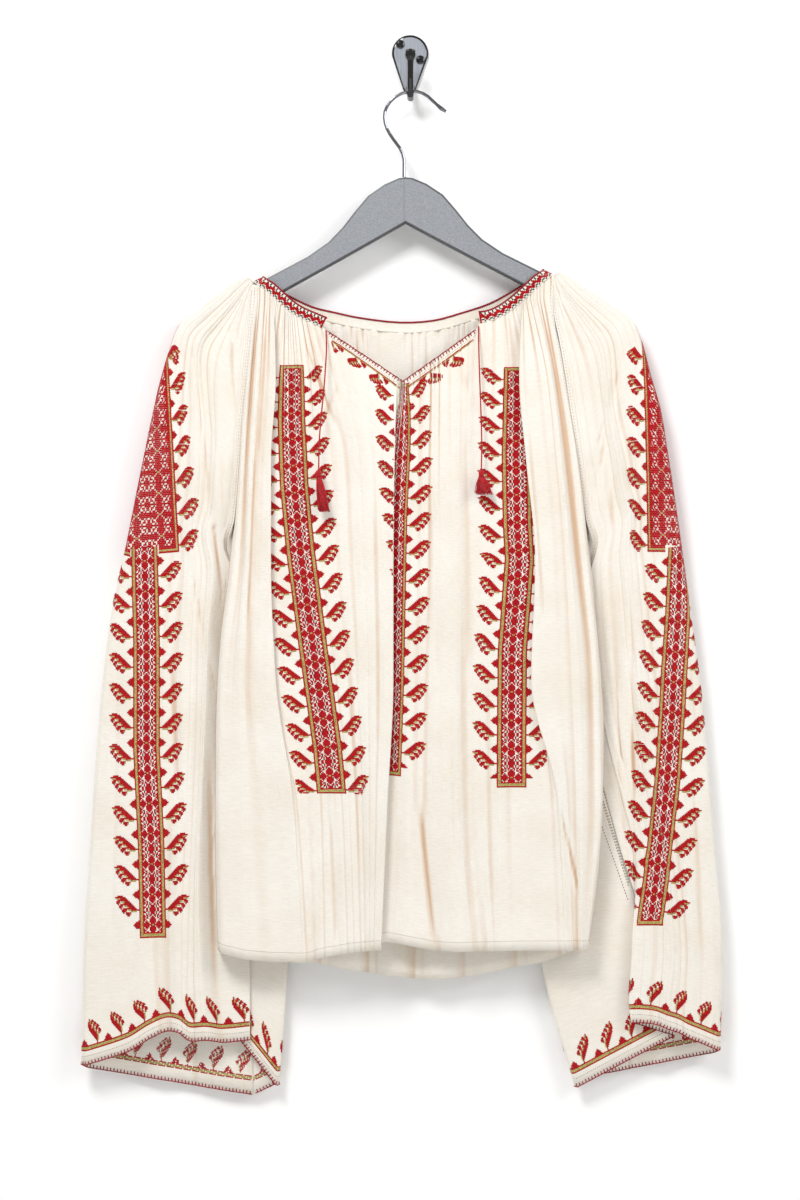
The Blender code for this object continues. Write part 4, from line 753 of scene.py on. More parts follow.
class Cloth:
    """Fine grid of a piece of cloth: its rows run across it and its columns down it."""

    def __init__(self, grid, half_thick, names=None):
        self.grid = np.array(grid, dtype=float)
        self.half_thick = half_thick
        self.names = names or {}
        self.measure()

    def measure(self):
        across = np.linalg.norm(np.diff(self.grid, axis=1), axis=2)
        down = np.linalg.norm(np.diff(self.grid, axis=0), axis=2)
        self.run = np.pad(np.cumsum(across, axis=1), ((0, 0), (1, 0)))
        self.fall = np.pad(np.cumsum(down, axis=0), ((1, 0), (0, 0)))
        front = np.cross(np.gradient(self.grid, axis=0), np.gradient(self.grid, axis=1))
        self.facing = np.sign(front[len(front) // 2, 2:len(front[0]) // 3, 2].sum())

    def line(self, row):
        """Points and run of the cloth along a row, which may lie between two of the grid."""
        i = min(int(row), len(self.grid) - 2)
        t = row - i
        return (self.grid[i] * (1 - t) + self.grid[i + 1] * t,
                self.run[i] * (1 - t) + self.run[i + 1] * t)

    def find(self, across, down, first, last, guess):
        """Row and column of the place seen at across and down, between two columns."""
        columns = np.arange(first, last + 1)
        row = guess
        column = float(first)
        for _ in range(4):
            points, _run = self.line(row)
            part = points[first:last + 1]
            order = slice(None) if part[-1, 0] > part[0, 0] else slice(None, None, -1)
            column = float(np.interp(across, np.maximum.accumulate(part[order, 0]), columns[order]))
            seen = float(np.interp(column, np.arange(len(points)), points[:, 1]))
            i = min(int(row), len(self.grid) - 2)
            pitch = self.grid[i + 1, int(column), 1] - self.grid[i, int(column), 1]
            row = min(max(row + (down - seen) / max(pitch, 0.5), 0.0), len(self.grid) - 1.001)
        return row, column

    def square_tilt(self, row, column, way):
        """Rows to add for each millimetre along a row, to lie square to a way across by down."""
        i = min(int(row), len(self.grid) - 2)
        low, high = max(int(column) - 9, 0), min(int(column) + 9, len(self.grid[0]) - 1)
        j = (low + high) // 2
        along = (self.grid[i, high] - self.grid[i, low])[:2] / (self.run[i, high] - self.run[i, low])
        down = (self.grid[i + 1, j] - self.grid[i, j])[:2]
        square = along[0] * -way - along[1]
        tilt = -square / (down[0] * -way - down[1])
        return min(max(tilt, -TILT_LIMIT), TILT_LIMIT)

    def places(self, rows, columns):
        """Points, directions along the row and outward directions at rows and columns."""
        rows = np.clip(rows, 0, len(self.grid) - 1.001)
        columns = np.clip(columns, 0, len(self.grid[0]) - 1.001)
        i, j = rows.astype(int), columns.astype(int)
        t, u = (rows - i)[:, None], (columns - j)[:, None]
        a, b = self.grid[i, j], self.grid[i, j + 1]
        c, d = self.grid[i + 1, j], self.grid[i + 1, j + 1]
        along = (b - a) * (1 - t) + (d - c) * t
        down = (c - a) * (1 - u) + (d - b) * u
        outward = np.cross(down, along) * self.facing
        points = (a * (1 - u) + b * u) * (1 - t) + (c * (1 - u) + d * u) * t

        def unit(v):
            return v / np.maximum(np.linalg.norm(v, axis=1, keepdims=True), 1e-9)

        return points, unit(along), unit(outward)

    def from_edge(self, edge, runs, heights):
        """Rows and columns of places at runs along the top or bottom edge, and heights from it."""
        row = 0 if edge == "top" else len(self.grid) - 1
        columns = np.interp(runs, self.run[row], np.arange(len(self.grid[0])))
        rows = np.empty(len(columns))
        for n, (column, height) in enumerate(zip(columns, heights)):
            j = min(int(column), len(self.grid[0]) - 2)
            share = column - j
            fall = self.fall[:, j] * (1 - share) + self.fall[:, j + 1] * share
            goal = height if edge == "top" else fall[-1] - height
            rows[n] = np.interp(goal, fall, np.arange(len(fall)))
        return rows, columns


def soft_creases(cloth, creases):
    """Press listed creases into a cloth: each runs straight from one place to another."""
    grid = cloth.grid
    for across0, down0, across1, down1, half_width, depth in creases:
        start = np.array((across0, down0))
        way = np.array((across1, down1)) - start
        length = np.linalg.norm(way)
        way = way / length
        to = grid[..., :2] - start
        share = (to @ way) / length
        aside = np.abs(to[..., 0] * way[1] - to[..., 1] * way[0])
        ends = np.clip(np.minimum(share, 1 - share) * 4, 0, 1)
        press = depth * np.exp(-(aside / half_width) ** 2) * ends * ends * (3 - 2 * ends)
        grid[..., 2] -= CREASE_SHARE * press * np.sign(grid[..., 2] - DEPTH_MIDDLE)
    cloth.measure()


def fine_gathers(cloth, phases, height):
    """Small gathers between the large ones, tallest at the stitched edge."""
    below = cloth.fall
    wave = np.array([uneven(round(p * 1.7)) * math.sin(2 * math.pi * p + 0.8 * math.sin(p * 0.7))
                     for p in phases])
    size = height * np.exp(-below / PANEL_GATHER_FADE) + REST_GATHER
    start = np.clip(below / 3.0, 0.25, 1.0)
    ends = np.clip(np.minimum(cloth.run, cloth.run[:, -1:] - cloth.run) / 6.0, 0, 1)
    cloth.grid[..., 2] += wave[None, :] * size * start * ends
    cloth.measure()


def crinkle(cloth, height):
    """Slight unevenness of unpressed gauze, in soft patches wider than they are tall."""
    run = cloth.run.mean(axis=0)[None, :]
    fall = cloth.fall.mean(axis=1)[:, None]
    sway = 1.7 * np.sin(fall / 31.0) + 1.1 * np.sin(fall / 13.0 + 1.0)
    patch = (np.sin(run / 5.3 + sway) * np.sin(fall / 4.9 + 0.9 * np.sin(run / 17.0))
             + 0.6 * np.sin(run / 9.1 - 1.3 * sway) * np.sin(fall / 7.7 + 2.0))
    inside = np.clip(np.minimum(cloth.run, cloth.run[:, -1:] - cloth.run) / 5.0, 0, 1)
    inside = inside * np.clip(cloth.fall / 6.0, 0, 1)
    cloth.grid[..., 2] += height * patch * inside
    cloth.measure()


def shell(name, cloth, finish):
    """Mesh of a cloth with its thread coordinates and the depth of its folds, which sets the painted
    shade in their troughs.
    """
    rows, wide = cloth.grid.shape[:2]
    mesh = bpy.data.meshes.new(name)
    numbers = np.arange(rows * wide).reshape(rows, wide)
    corners = [numbers[:-1, :-1], numbers[1:, :-1], numbers[1:, 1:], numbers[:-1, 1:]]
    if cloth.facing < 0:
        corners.reverse()
    faces = np.stack(corners, axis=-1).reshape(-1, 4)
    mesh.from_pydata(place_all(cloth.grid).reshape(-1, 3).tolist(), [], faces.tolist())
    threads = mesh.uv_layers.new(name="threads")
    across = cloth.run.mean(axis=0) * MM
    down = cloth.fall.mean(axis=1) * MM
    flat = np.stack(np.broadcast_arrays(across[None, :], -down[:, None]), axis=-1).reshape(-1, 2)
    threads.data.foreach_set("uv", flat[faces.reshape(-1)].reshape(-1))
    # Painted shade: how far each point lies below the cloth beside it, weaker where columns are wide,
    # darkens and warms the gauze in the troughs of folds.
    spread = np.ones(FOLD_SHADE_WINDOW) / FOLD_SHADE_WINDOW
    padded = np.pad(cloth.grid[..., 2], ((0, 0), (FOLD_SHADE_WINDOW // 2, FOLD_SHADE_WINDOW // 2)), "edge")
    level = np.apply_along_axis(lambda line: np.convolve(line, spread, "valid"), 1, padded)
    fold_shade = mesh.attributes.new("fold_shade", "FLOAT", "POINT")
    pitch = np.maximum(np.gradient(cloth.run, axis=1), FOLD_SHADE_PITCH)
    depth = (level - cloth.grid[..., 2]) * (FOLD_SHADE_PITCH / pitch) ** 2
    fold_shade.data.foreach_set("value", depth.reshape(-1).astype("f4"))
    mesh.shade_smooth()
    mesh.materials.append(finish)
    made = linked(name, mesh)
    wall = made.modifiers.new("wall", "SOLIDIFY")
    wall.thickness = 2 * cloth.half_thick * MM
    wall.offset = 0.0
    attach(made, "root")
    return made


def mirrored(quarter):
    """Whole repeat from the upper left quarter of a chart that is the same both ways."""
    rows = [row + row[::-1] for row in quarter]
    return rows + rows[-2:0:-1]


# Charts of the embroidery, one letter for each cross: R red, G gold, K dark green, . none.
# The field of a band, from one flower's centre to the next
FIELD = mirrored((
    "RRRRRRRG",
    "RRRRR.RR",
    ".RRR.RRR",
    "R.R..RRR",
    "RR...RRR",
    "R.RR..RR",
    "RR.K.R.R",
    "R.RR.RR.",
    "..R.R.RR",
    "RR..K.RR",
    "R.RR.RRR",
    "..RR.RRR"))
# The leaf beside a band: its first column touches the border and its tip is at the top
LEAF = (
    "............RRRR..",
    "..........RRRRRRRR",
    ".........RRRRRGGG.",
    "........RRRRRRRR..",
    ".......RRRRGG.RRR.",
    "......RRRRRG..GRR.",
    ".....RRRRRRRRR.R..",
    "....RRRRRGG.RRR...",
    "...RRRRRG...GRR...",
    "..RRRRRRRRRR.R....",
    "RRRRRRGG.RRRR.....",
    "..GGGG...GRRR.....",
    "......RRRR.R......",
    "......GRRR........",
    ".......RR.........")
LEAF_ROOT = 10                # row of the leaf where it leaves the border
TOOTH = ("R....", "RRR..", "RRRR.", "RRRRR", "RRRR.", "RRR..", "R....")
# One flower of a shoulder block, with the line that parts it from the next
BLOCK_FIELD = mirrored((
    "RRRRRRRR",
    "RR..R.RR",
    "R.RR.RRR",
    "R.R..RRR",
    ".R.RR.RR",
    "RRRRRR.R",
    "RRRRRRRG"))
COLLAR_CHART = (
    "K..K..",
    "R..K.R",
    "RRK.RR",
    "RRRRRR",
    ".RRRR.",
    "K.RR.K",
    ".K..K.")
LETTERS = {"R": "red", "G": "gold", "K": "dark", "E": "edge"}


class Needlework:
    """Stitches of each thread on one piece of cloth, kept until they are made into meshes."""

    def __init__(self, cloth):
        self.cloth = cloth
        self.kept = {}

    def lay(self, thread, rows, columns, size, lean=0.0, inside=False):
        """Stitches at rows and columns; size is width, length and height in millimetres."""
        if not len(rows):
            return
        points, along, outward = self.cloth.places(np.asarray(rows, float),
                                                   np.asarray(columns, float))
        side = -1.0 if inside else 1.0
        points = points + outward * side * (self.cloth.half_thick - STITCH_SUNK)
        if lean:
            down = np.cross(outward, along)
            along = along * math.cos(lean) + down * math.sin(lean)
        sizes = np.broadcast_to(np.array(size, float), points.shape)
        group = self.kept.setdefault(thread, [[], [], [], []])
        for store, values in zip(group, (points, along, outward * side, sizes)):
            store.append(values)

    def sew(self, name):
        """One mesh for each thread, made by the counted stitch tree."""
        made = []
        for thread, group in self.kept.items():
            points, along, outward, sizes = (np.concatenate(g) for g in group)
            mesh = bpy.data.meshes.new(name)
            mesh.from_pydata(place_all(points).tolist(), [], [])
            for key, values in (("along", turn_all(along)), ("outward", turn_all(outward)),
                                ("size", sizes * MM)):
                layer = mesh.attributes.new(key, "FLOAT_VECTOR", "POINT")
                layer.data.foreach_set("vector", values.astype("f4").reshape(-1))
            holder = linked(f"{name}_{thread}_holder", mesh)
            run = holder.modifiers.new("stitches", "NODES")
            run.node_group = STITCH_TREE
            run[STITCH_THREAD] = THREADS[thread]
            made.append(plain_copy(f"{name}_{thread}", holder))
        return made


def linked(name, data):
    """New object at the origin, in the scene."""
    made = bpy.data.objects.new(name, data)
    bpy.context.scene.collection.objects.link(made)
    return made


def plain_copy(name, holder):
    """The evaluated result of an object as a plain mesh piece, in the object's place."""
    graph = bpy.context.evaluated_depsgraph_get()
    mesh = bpy.data.meshes.new_from_object(holder.evaluated_get(graph))
    mesh.name = name
    made = linked(name, mesh)
    bpy.data.objects.remove(holder)
    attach(made, "root")
    return made


def stitch_tree():
    """Tree that sets one low four-sided stitch on each point, turned to lie on the cloth."""
    tree = bpy.data.node_groups.new("counted_stitch", "GeometryNodeTree")
    tree.interface.new_socket("Places", in_out="INPUT", socket_type="NodeSocketGeometry")
    thread = tree.interface.new_socket("Thread", in_out="INPUT", socket_type="NodeSocketMaterial")
    tree.interface.new_socket("Stitches", in_out="OUTPUT", socket_type="NodeSocketGeometry")
    start = node(tree, "NodeGroupInput")
    end = node(tree, "NodeGroupOutput")
    cross = node(tree, "GeometryNodeMeshCone", {"fill_type": "NONE"},
                 {"Vertices": 4, "Radius Top": 0.0, "Radius Bottom": math.sqrt(0.5), "Depth": 1.0})
    square = node(tree, "GeometryNodeTransform", {},
                  {"Geometry": cross.outputs["Mesh"], "Translation": (0.0, 0.0, 0.5),
                   "Rotation": (0.0, 0.0, math.pi / 4)})
    read = {key: node(tree, "GeometryNodeInputNamedAttribute", {"data_type": "FLOAT_VECTOR"},
                      {"Name": key}) for key in ("along", "outward", "size")}
    turn = node(tree, "FunctionNodeAxesToRotation",
                {"primary_axis": "Z", "secondary_axis": "X"},
                {"Primary Axis": read["outward"].outputs["Attribute"],
                 "Secondary Axis": read["along"].outputs["Attribute"]})
    each = node(tree, "GeometryNodeInstanceOnPoints", {},
                {"Points": start.outputs["Places"], "Instance": square.outputs["Geometry"],
                 "Rotation": turn.outputs["Rotation"], "Scale": read["size"].outputs["Attribute"]})
    real = node(tree, "GeometryNodeRealizeInstances", {}, {"Geometry": each.outputs["Instances"]})
    dyed = node(tree, "GeometryNodeSetMaterial", {},
                {"Geometry": real.outputs["Geometry"], "Material": start.outputs["Thread"]})
    tree.links.new(dyed.outputs["Geometry"], end.inputs["Stitches"])
    return tree, thread.identifier


def flower_downs(first, last):
    """Down values of the flowers of a band, which lie closer under the gathers at its top."""
    downs = [first]
    while downs[-1] < last + 40:
        downs.append(downs[-1] + FLOWER_PITCH - GATHERED_PITCH * math.exp(-(len(downs) - 1) / 2.5))
    return downs


class Band:
    """Where a band of embroidery runs: its middle, its ends and the lines it may not pass."""

    def __init__(self, middle, top, bottom, first, step, within, sides, pitch=None,
                 leaves_only=False, on_sleeve=False):
        self.downs = [d for d, _a in middle]
        self.acrosses = [a for _d, a in middle]
        self.top = top
        self.bottom = bottom
        self.step = step
        self.within = within
        self.sides = sides
        self.leaves_only = leaves_only
        self.on_sleeve = on_sleeve
        if pitch:
            self.flowers = [first + pitch * k for k in range(int((bottom - first) / pitch) + 3)]
        else:
            self.flowers = flower_downs(first, bottom)

    def row_down(self, number):
        """Down value of a stitch row, counted from the centre of the first flower."""
        share = number / len(FIELD)
        if share < 0:
            return self.flowers[0] + share * (self.flowers[1] - self.flowers[0])
        return float(np.interp(share, np.arange(len(self.flowers)), self.flowers))

    def rows(self):
        number = 0
        while self.row_down(number - 1) > self.top:
            number -= 1
        numbers = []
        while self.row_down(number) < self.bottom:
            numbers.append(number)
            number += 1
        return numbers


def band_cells(number, from_top, from_bottom, band):
    """One row of a band: run from its middle, letter and width of each stitch."""
    field = "" if band.leaves_only else FIELD[number % len(FIELD)]
    half = len(field) / 2 + BORDER if field else 0.0
    nearest = from_bottom if band.on_sleeve else min(from_top, from_bottom)
    cells = []
    for k in range(len(field) + 2 * BORDER if field else 0):
        from_side = min(k, len(field) + 2 * BORDER - 1 - k)
        ring = min(from_side, nearest)
        letter = BORDER_LETTERS[ring] if ring < BORDER else field[k - BORDER]
        cells.append(((k + 0.5 - half) * band.step, letter, band.step))
    for side in band.sides:
        cells += side_cells(number, half * band.step, side, from_top, from_bottom)
    return [cell for cell in cells if cell[1] != "."]


def side_cells(number, half, side, from_top, from_bottom):
    """Letters of a leaf and a tooth beside a band at one of its rows."""
    repeat = len(FIELD)
    cells = []
    leaf_row = (number - repeat // 2 + LEAF_ROOT) % repeat
    to_root = LEAF_ROOT - leaf_row
    if leaf_row < len(LEAF) and from_bottom > to_root + 1 and from_top > -to_root:
        cells += [(side * (half + (k + 0.5) * LEAF_CROSS), letter, LEAF_CROSS)
                  for k, letter in enumerate(LEAF[leaf_row])]
    tooth_row = (number + len(TOOTH) // 2) % repeat
    if tooth_row < len(TOOTH) and min(from_top, from_bottom) >= len(TOOTH):
        cells += [(side * (half + (k + 0.5) * CROSS), letter, CROSS)
                  for k, letter in enumerate(TOOTH[tooth_row])]
    return cells


def sew_band(work, band):
    """Count a band's stitches out on the cloth, row by row from its top."""
    cloth = work.cloth
    first, last = (cloth.names[name] for name in band.within)
    numbers = band.rows()
    guess = 5.0
    for n, number in enumerate(numbers):
        down = band.row_down(number)
        middle = np.interp(down, band.downs, band.acrosses)
        row, column = cloth.find(middle, down, min(first, last), max(first, last), guess)
        guess = row
        points, run = cloth.line(row)
        places = np.arange(len(run))
        pitch = band.row_down(number + 1) - down
        heading = 1.0 if points[max(first, last), 0] > points[min(first, last), 0] else -1.0
        beyond = middle - float(np.interp(column, places, points[:, 0]))
        start = np.interp(column, places, run) + heading * beyond
        after = np.interp(down + 8.0, band.downs, band.acrosses)
        tilt = cloth.square_tilt(row, column, (after - middle) / 8.0)
        limits = (0.5, run[-1] - 0.5) if band.on_sleeve else (run[min(first, last)],
                                                              run[max(first, last)])
        cells = band_cells(number, n, len(numbers) - 1 - n, band)
        for thread_letter, thread in LETTERS.items():
            chosen = np.array([(start + heading * u, wide * STITCH_OVERLAP)
                               for u, letter, wide in cells if letter == thread_letter])
            if not len(chosen):
                continue
            goals, widths = chosen[(chosen[:, 0] > limits[0]) & (chosen[:, 0] < limits[1])].T
            columns = np.interp(goals, run, places)
            size = np.stack([widths, np.full(len(widths), pitch * STITCH_OVERLAP),
                             np.full(len(widths), STITCH_HEIGHT)], axis=-1)
            work.lay(thread, row + tilt * (goals - start), columns, size)


def sew_on_edge(work, edge, chart_cells, size, inside=False):
    """Stitches given as run along an edge, height from it and letter."""
    for letter, thread in LETTERS.items():
        runs = np.array([s for s, h, c in chart_cells if c == letter])
        heights = np.array([h for s, h, c in chart_cells if c == letter])
        if len(runs):
            rows, columns = work.cloth.from_edge(edge, runs, heights)
            work.lay(thread, rows, columns, size, inside=inside)


def edge_ticks(work, edge, start, stop):
    """Blanket stitch: short bars across the edge, joined by a thread along it."""
    count = int((stop - start) / TICK_PITCH)
    runs = start + (np.arange(count) + 0.5) * TICK_PITCH
    long = TICK_LONG * (1.0 + 0.12 * np.sin(np.arange(count) * 2.1))
    rows, columns = work.cloth.from_edge(edge, runs, long / 2)
    along_rows, along_columns = work.cloth.from_edge(edge, runs, np.full(count, 0.4))
    for inside in (False, True):
        work.lay("edge", rows, columns, (TICK_WIDE, TICK_LONG, STITCH_HEIGHT * 1.4),
                 lean=0.12, inside=inside)
        work.lay("edge", along_rows, along_columns,
                 (TICK_PITCH * 1.15, 0.9, STITCH_HEIGHT * 1.5), inside=inside)


def hem_dots(work, edge, start, stop, height):
    """Fine hem stitches that show as small grey dots."""
    runs = np.arange(start, stop, HEM_DOT_PITCH)
    rows, columns = work.cloth.from_edge(edge, runs, np.full(len(runs), height))
    work.lay("seam", rows, columns, (1.1, 0.6, 0.3))


def dashed_line(work, way, first, last, guess):
    """Drawn-thread line straight across a piece, from one place seen in front to another."""
    cloth = work.cloth
    start, stop = np.array(way[:2]), np.array(way[2:])
    count = int(np.linalg.norm(stop - start) / DASH_PITCH)
    found = []
    for k in range(count + 1):
        across, down = start + (stop - start) * k / count
        row, column = cloth.find(across, down, first, last, guess)
        guess = row
        found.append((row, column))
    rows, columns = np.array(found).T
    work.lay("seam", rows, columns, (1.0, 1.7, 0.35))


def seam_dashes(work, first_row):
    """Drawn-thread seams: dashes down both sides of a piece, a little in from its edges."""
    cloth = work.cloth
    for column in (0, len(cloth.grid[0]) - 1):
        fall = cloth.fall[:, column]
        numbers = np.arange(len(fall))
        goals = np.arange(np.interp(first_row, numbers, fall),
                          np.interp(SEAM_LAST_ROW, numbers, fall), SEAM_PITCH)
        rows = np.interp(goals, fall, numbers)
        columns = np.empty(len(rows))
        for n, row in enumerate(rows):
            _points, run = cloth.line(row)
            goal = run[-1] - SEAM_INSET if column else SEAM_INSET
            columns[n] = np.interp(goal, run, np.arange(len(run)))
        work.lay("seam", rows, columns, SEAM_DASH)


def hex_colour(code):
    """Linear colour of an sRGB hex code."""
    parts = [int(code[i:i + 2], 16) / 255 for i in (0, 2, 4)]
    return tuple(p / 12.92 if p <= 0.04045 else ((p + 0.055) / 1.055) ** 2.4 for p in parts) + (1.0,)


def node(tree, kind, settings=None, inputs=None):
    """Add a node with its settings; an input is a value or another node's output."""
    made = tree.nodes.new(kind)
    for key, value in (settings or {}).items():
        setattr(made, key, value)
    for key, value in (inputs or {}).items():
        if isinstance(value, bpy.types.NodeSocket):
            tree.links.new(value, made.inputs[key])
        else:
            made.inputs[key].default_value = value
    return made


def finish(name, **fixed):
    """New material and its shader, with values that are the same all over the surface."""
    made = bpy.data.materials.new(name)
    made.use_nodes = True
    shader = made.node_tree.nodes["Principled BSDF"]
    for key, value in fixed.items():
        shader.inputs[key.replace("_", " ")].default_value = value
    return made, made.node_tree, shader


def ramp(tree, factor, stops):
    made = node(tree, "ShaderNodeValToRGB", {}, {"Fac": factor})
    points = made.color_ramp.elements
    while len(points) < len(stops):
        points.new(0.5)
    for point, (at, colour) in zip(points, stops):
        point.position = at
        point.color = colour
    return made.outputs["Color"]


def grain(tree, scale, **more):
    """Noise through the body of a piece, with a number of patches to the metre."""
    places = node(tree, "ShaderNodeTexCoord").outputs["Object"]
    inputs = {"Vector": places, "Scale": scale, **more}
    return node(tree, "ShaderNodeTexNoise", {}, inputs).outputs["Fac"]


def relief(tree, shader, height, strength, distance=0.0002):
    """Raise a surface by a pattern; the distance is in metres."""
    bump = node(tree, "ShaderNodeBump", {},
                {"Height": height, "Strength": strength, "Distance": distance})
    tree.links.new(bump.outputs["Normal"], shader.inputs["Normal"])


def wave(tree, vector, direction, per_metre, sway):
    """Thread ridges at a number to the metre."""
    return node(tree, "ShaderNodeTexWave",
                {"wave_type": "BANDS", "bands_direction": direction, "wave_profile": "SIN"},
                {"Vector": vector, "Scale": per_metre * WAVE_UNIT, "Distortion": sway,
                 "Detail": 2.0, "Detail Scale": 1.5}).outputs["Fac"]


def cotton_gauze():
    """Unbleached crinkled cotton gauze: an open weave with slubs, and painted warm shade where folds are
    deep.
    """
    made, tree, shader = finish("cotton_gauze", Roughness=0.92, Sheen_Weight=0.25,
                                Sheen_Roughness=0.5, Subsurface_Weight=0.12,
                                Subsurface_Scale=0.004)
    shader.inputs["Subsurface Radius"].default_value = (1.0, 0.72, 0.5)
    threads = node(tree, "ShaderNodeUVMap", {"uv_map": "threads"}).outputs["UV"]
    # The real weave is finer than the picture shows, so its threads stand 1 mm apart.
    warp = wave(tree, threads, "X", 1000.0, 1.2)
    weft = wave(tree, threads, "Y", 1000.0, 1.6)
    slub_place = node(tree, "ShaderNodeMapping", {}, {"Vector": threads, "Scale": (140.0, 900.0, 1.0)})
    slubs = node(tree, "ShaderNodeTexNoise", {},
                 {"Vector": slub_place.outputs["Vector"], "Scale": 1.0, "Detail": 3.0,
                  "Roughness": 0.6}).outputs["Fac"]
    cloud = node(tree, "ShaderNodeTexNoise", {},
                 {"Vector": threads, "Scale": 14.0, "Detail": 3.0}).outputs["Fac"]
    crease_place = node(tree, "ShaderNodeMapping", {}, {"Vector": threads, "Scale": (190.0, 60.0, 1.0)})
    crease = node(tree, "ShaderNodeTexNoise", {},
                  {"Vector": crease_place.outputs["Vector"], "Scale": 1.0, "Detail": 4.0,
                   "Roughness": 0.55, "Distortion": 0.6}).outputs["Fac"]
    # Painted shade: the depth of each fold's trough mixes the cloth toward a warm tan (C79A72).
    fold_shade = node(tree, "ShaderNodeAttribute", {"attribute_name": "fold_shade"}).outputs["Fac"]
    shade_amount = node(tree, "ShaderNodeMapRange", {},
                {"Value": fold_shade, "From Min": 0.06, "From Max": 0.8, "To Max": 0.8}).outputs["Result"]
    plain = ramp(tree, slubs, ((0.3, hex_colour("EEE6DA")), (0.62, hex_colour("F6F0E7"))))
    patchy = node(tree, "ShaderNodeMix", {"data_type": "RGBA", "blend_type": "MULTIPLY"},
                  {"Factor": 0.35, "A": plain,
                   "B": ramp(tree, cloud, ((0.35, hex_colour("EFE7D8")), (0.65, hex_colour("FFFFFF"))))})
    shaded_colour = node(tree, "ShaderNodeMix", {"data_type": "RGBA"},
                {"Factor": shade_amount, "A": patchy.outputs["Result"], "B": hex_colour("C79A72")})
    tree.links.new(shaded_colour.outputs["Result"], shader.inputs["Base Color"])
    weave = node(tree, "ShaderNodeMath", {"operation": "MAXIMUM"}, {0: warp, 1: weft}).outputs[0]
    raised = node(tree, "ShaderNodeMath", {"operation": "MULTIPLY_ADD"},
                  {0: weave, 1: 0.5, 2: slubs}).outputs[0]
    fine = node(tree, "ShaderNodeBump", {}, {"Height": raised, "Strength": 0.35, "Distance": 0.0004})
    soft = node(tree, "ShaderNodeBump", {},
                {"Height": crease, "Strength": 0.6, "Distance": 0.0012,
                 "Normal": fine.outputs["Normal"]})
    tree.links.new(soft.outputs["Normal"], shader.inputs["Normal"])
    return made


def cotton_thread(name, dark, light, roughness=0.66, sheen=0.04):
    """Stranded embroidery cotton: satin fibres, darker where strands lie in shade."""
    made, tree, shader = finish(name, Roughness=roughness, Sheen_Weight=sheen,
                                Specular_IOR_Level=0.25)
    strands = grain(tree, 900.0, Detail=2.0)
    tree.links.new(ramp(tree, strands, ((0.35, hex_colour(dark)), (0.62, hex_colour(light)))),
                   shader.inputs["Base Color"])
    relief(tree, shader, strands, 0.4)
    return made


def facing_front(tree):
    """How squarely a surface faces the front or back, from 0 on the edges to 1."""
    normal = node(tree, "ShaderNodeNewGeometry").outputs["Normal"]
    parts = node(tree, "ShaderNodeSeparateXYZ", {}, {"Vector": normal})
    return node(tree, "ShaderNodeMath", {"operation": "ABSOLUTE"}, {0: parts.outputs["Y"]}).outputs[0]


def painted_wood():
    """Grey lacquered hanger with a fine speckle, its rounded edges rubbed to black."""
    made, tree, shader = finish("painted_wood", Roughness=0.42, Coat_Weight=0.15,
                                Coat_Roughness=0.3)
    places = node(tree, "ShaderNodeTexCoord").outputs["Object"]
    speckle = grain(tree, 900.0, Detail=4.0, Roughness=0.7)
    grey = ramp(tree, speckle, ((0.34, hex_colour("83868B")), (0.5, hex_colour("8F9297")),
                                (0.68, hex_colour("9FA2A8"))))
    across = node(tree, "ShaderNodeSeparateXYZ", {}, {"Vector": places}).outputs["X"]
    from_joint = node(tree, "ShaderNodeMath", {"operation": "ADD"},
                      {0: across, 1: (SHEET_ACROSS - 404.0) * MM}).outputs[0]
    near = node(tree, "ShaderNodeMath", {"operation": "ABSOLUTE"}, {0: from_joint}).outputs[0]
    joint = node(tree, "ShaderNodeMapRange", {},
                 {"Value": near, "From Min": 0.0002, "From Max": 0.0009, "To Min": 0.45,
                  "To Max": 0.0}).outputs["Result"]
    jointed = node(tree, "ShaderNodeMix", {"data_type": "RGBA"},
                   {"Factor": joint, "A": grey, "B": hex_colour("6B7080")}).outputs["Result"]
    flat = node(tree, "ShaderNodeMapRange", {},
                {"Value": facing_front(tree), "From Min": 0.9, "From Max": 0.985}).outputs["Result"]
    edged = node(tree, "ShaderNodeMix", {"data_type": "RGBA"},
                 {"Factor": flat, "A": hex_colour("17181B"), "B": jointed}).outputs["Result"]
    tree.links.new(edged, shader.inputs["Base Color"])
    relief(tree, shader, speckle, 0.15)
    return made


def polished_steel():
    """Chromed steel wire, bright with faint drawing marks."""
    made, tree, shader = finish("polished_steel", Metallic=1.0, Roughness=0.16)
    shader.inputs["Base Color"].default_value = hex_colour("85878C")
    relief(tree, shader, grain(tree, 600.0), 0.08, 0.0001)
    return made


def brushed_plate():
    """Satin grey steel, brushed from top to bottom."""
    made, tree, shader = finish("brushed_plate", Metallic=0.7, Roughness=0.42)
    places = node(tree, "ShaderNodeTexCoord").outputs["Object"]
    long = node(tree, "ShaderNodeMapping", {}, {"Vector": places, "Scale": (2400.0, 2400.0, 60.0)})
    marks = node(tree, "ShaderNodeTexNoise", {},
                 {"Vector": long.outputs["Vector"], "Scale": 1.0, "Detail": 3.0}).outputs["Fac"]
    tree.links.new(ramp(tree, marks, ((0.3, hex_colour("8C9098")), (0.7, hex_colour("B4B8C0")))),
                   shader.inputs["Base Color"])
    relief(tree, shader, marks, 0.2)
    return made


def black_gloss():
    """Stove-enamelled black: a hard glossy coat with a slight orange peel."""
    made, tree, shader = finish("black_gloss", Roughness=0.14, Coat_Weight=0.5)
    shader.inputs["Base Color"].default_value = hex_colour("0B0B0D")
    relief(tree, shader, grain(tree, 500.0), 0.1)
    return made


def stage_white(name, code):
    made, _tree, shader = finish(name, Roughness=0.95)
    shader.inputs["Base Color"].default_value = hex_colour(code)
    return made


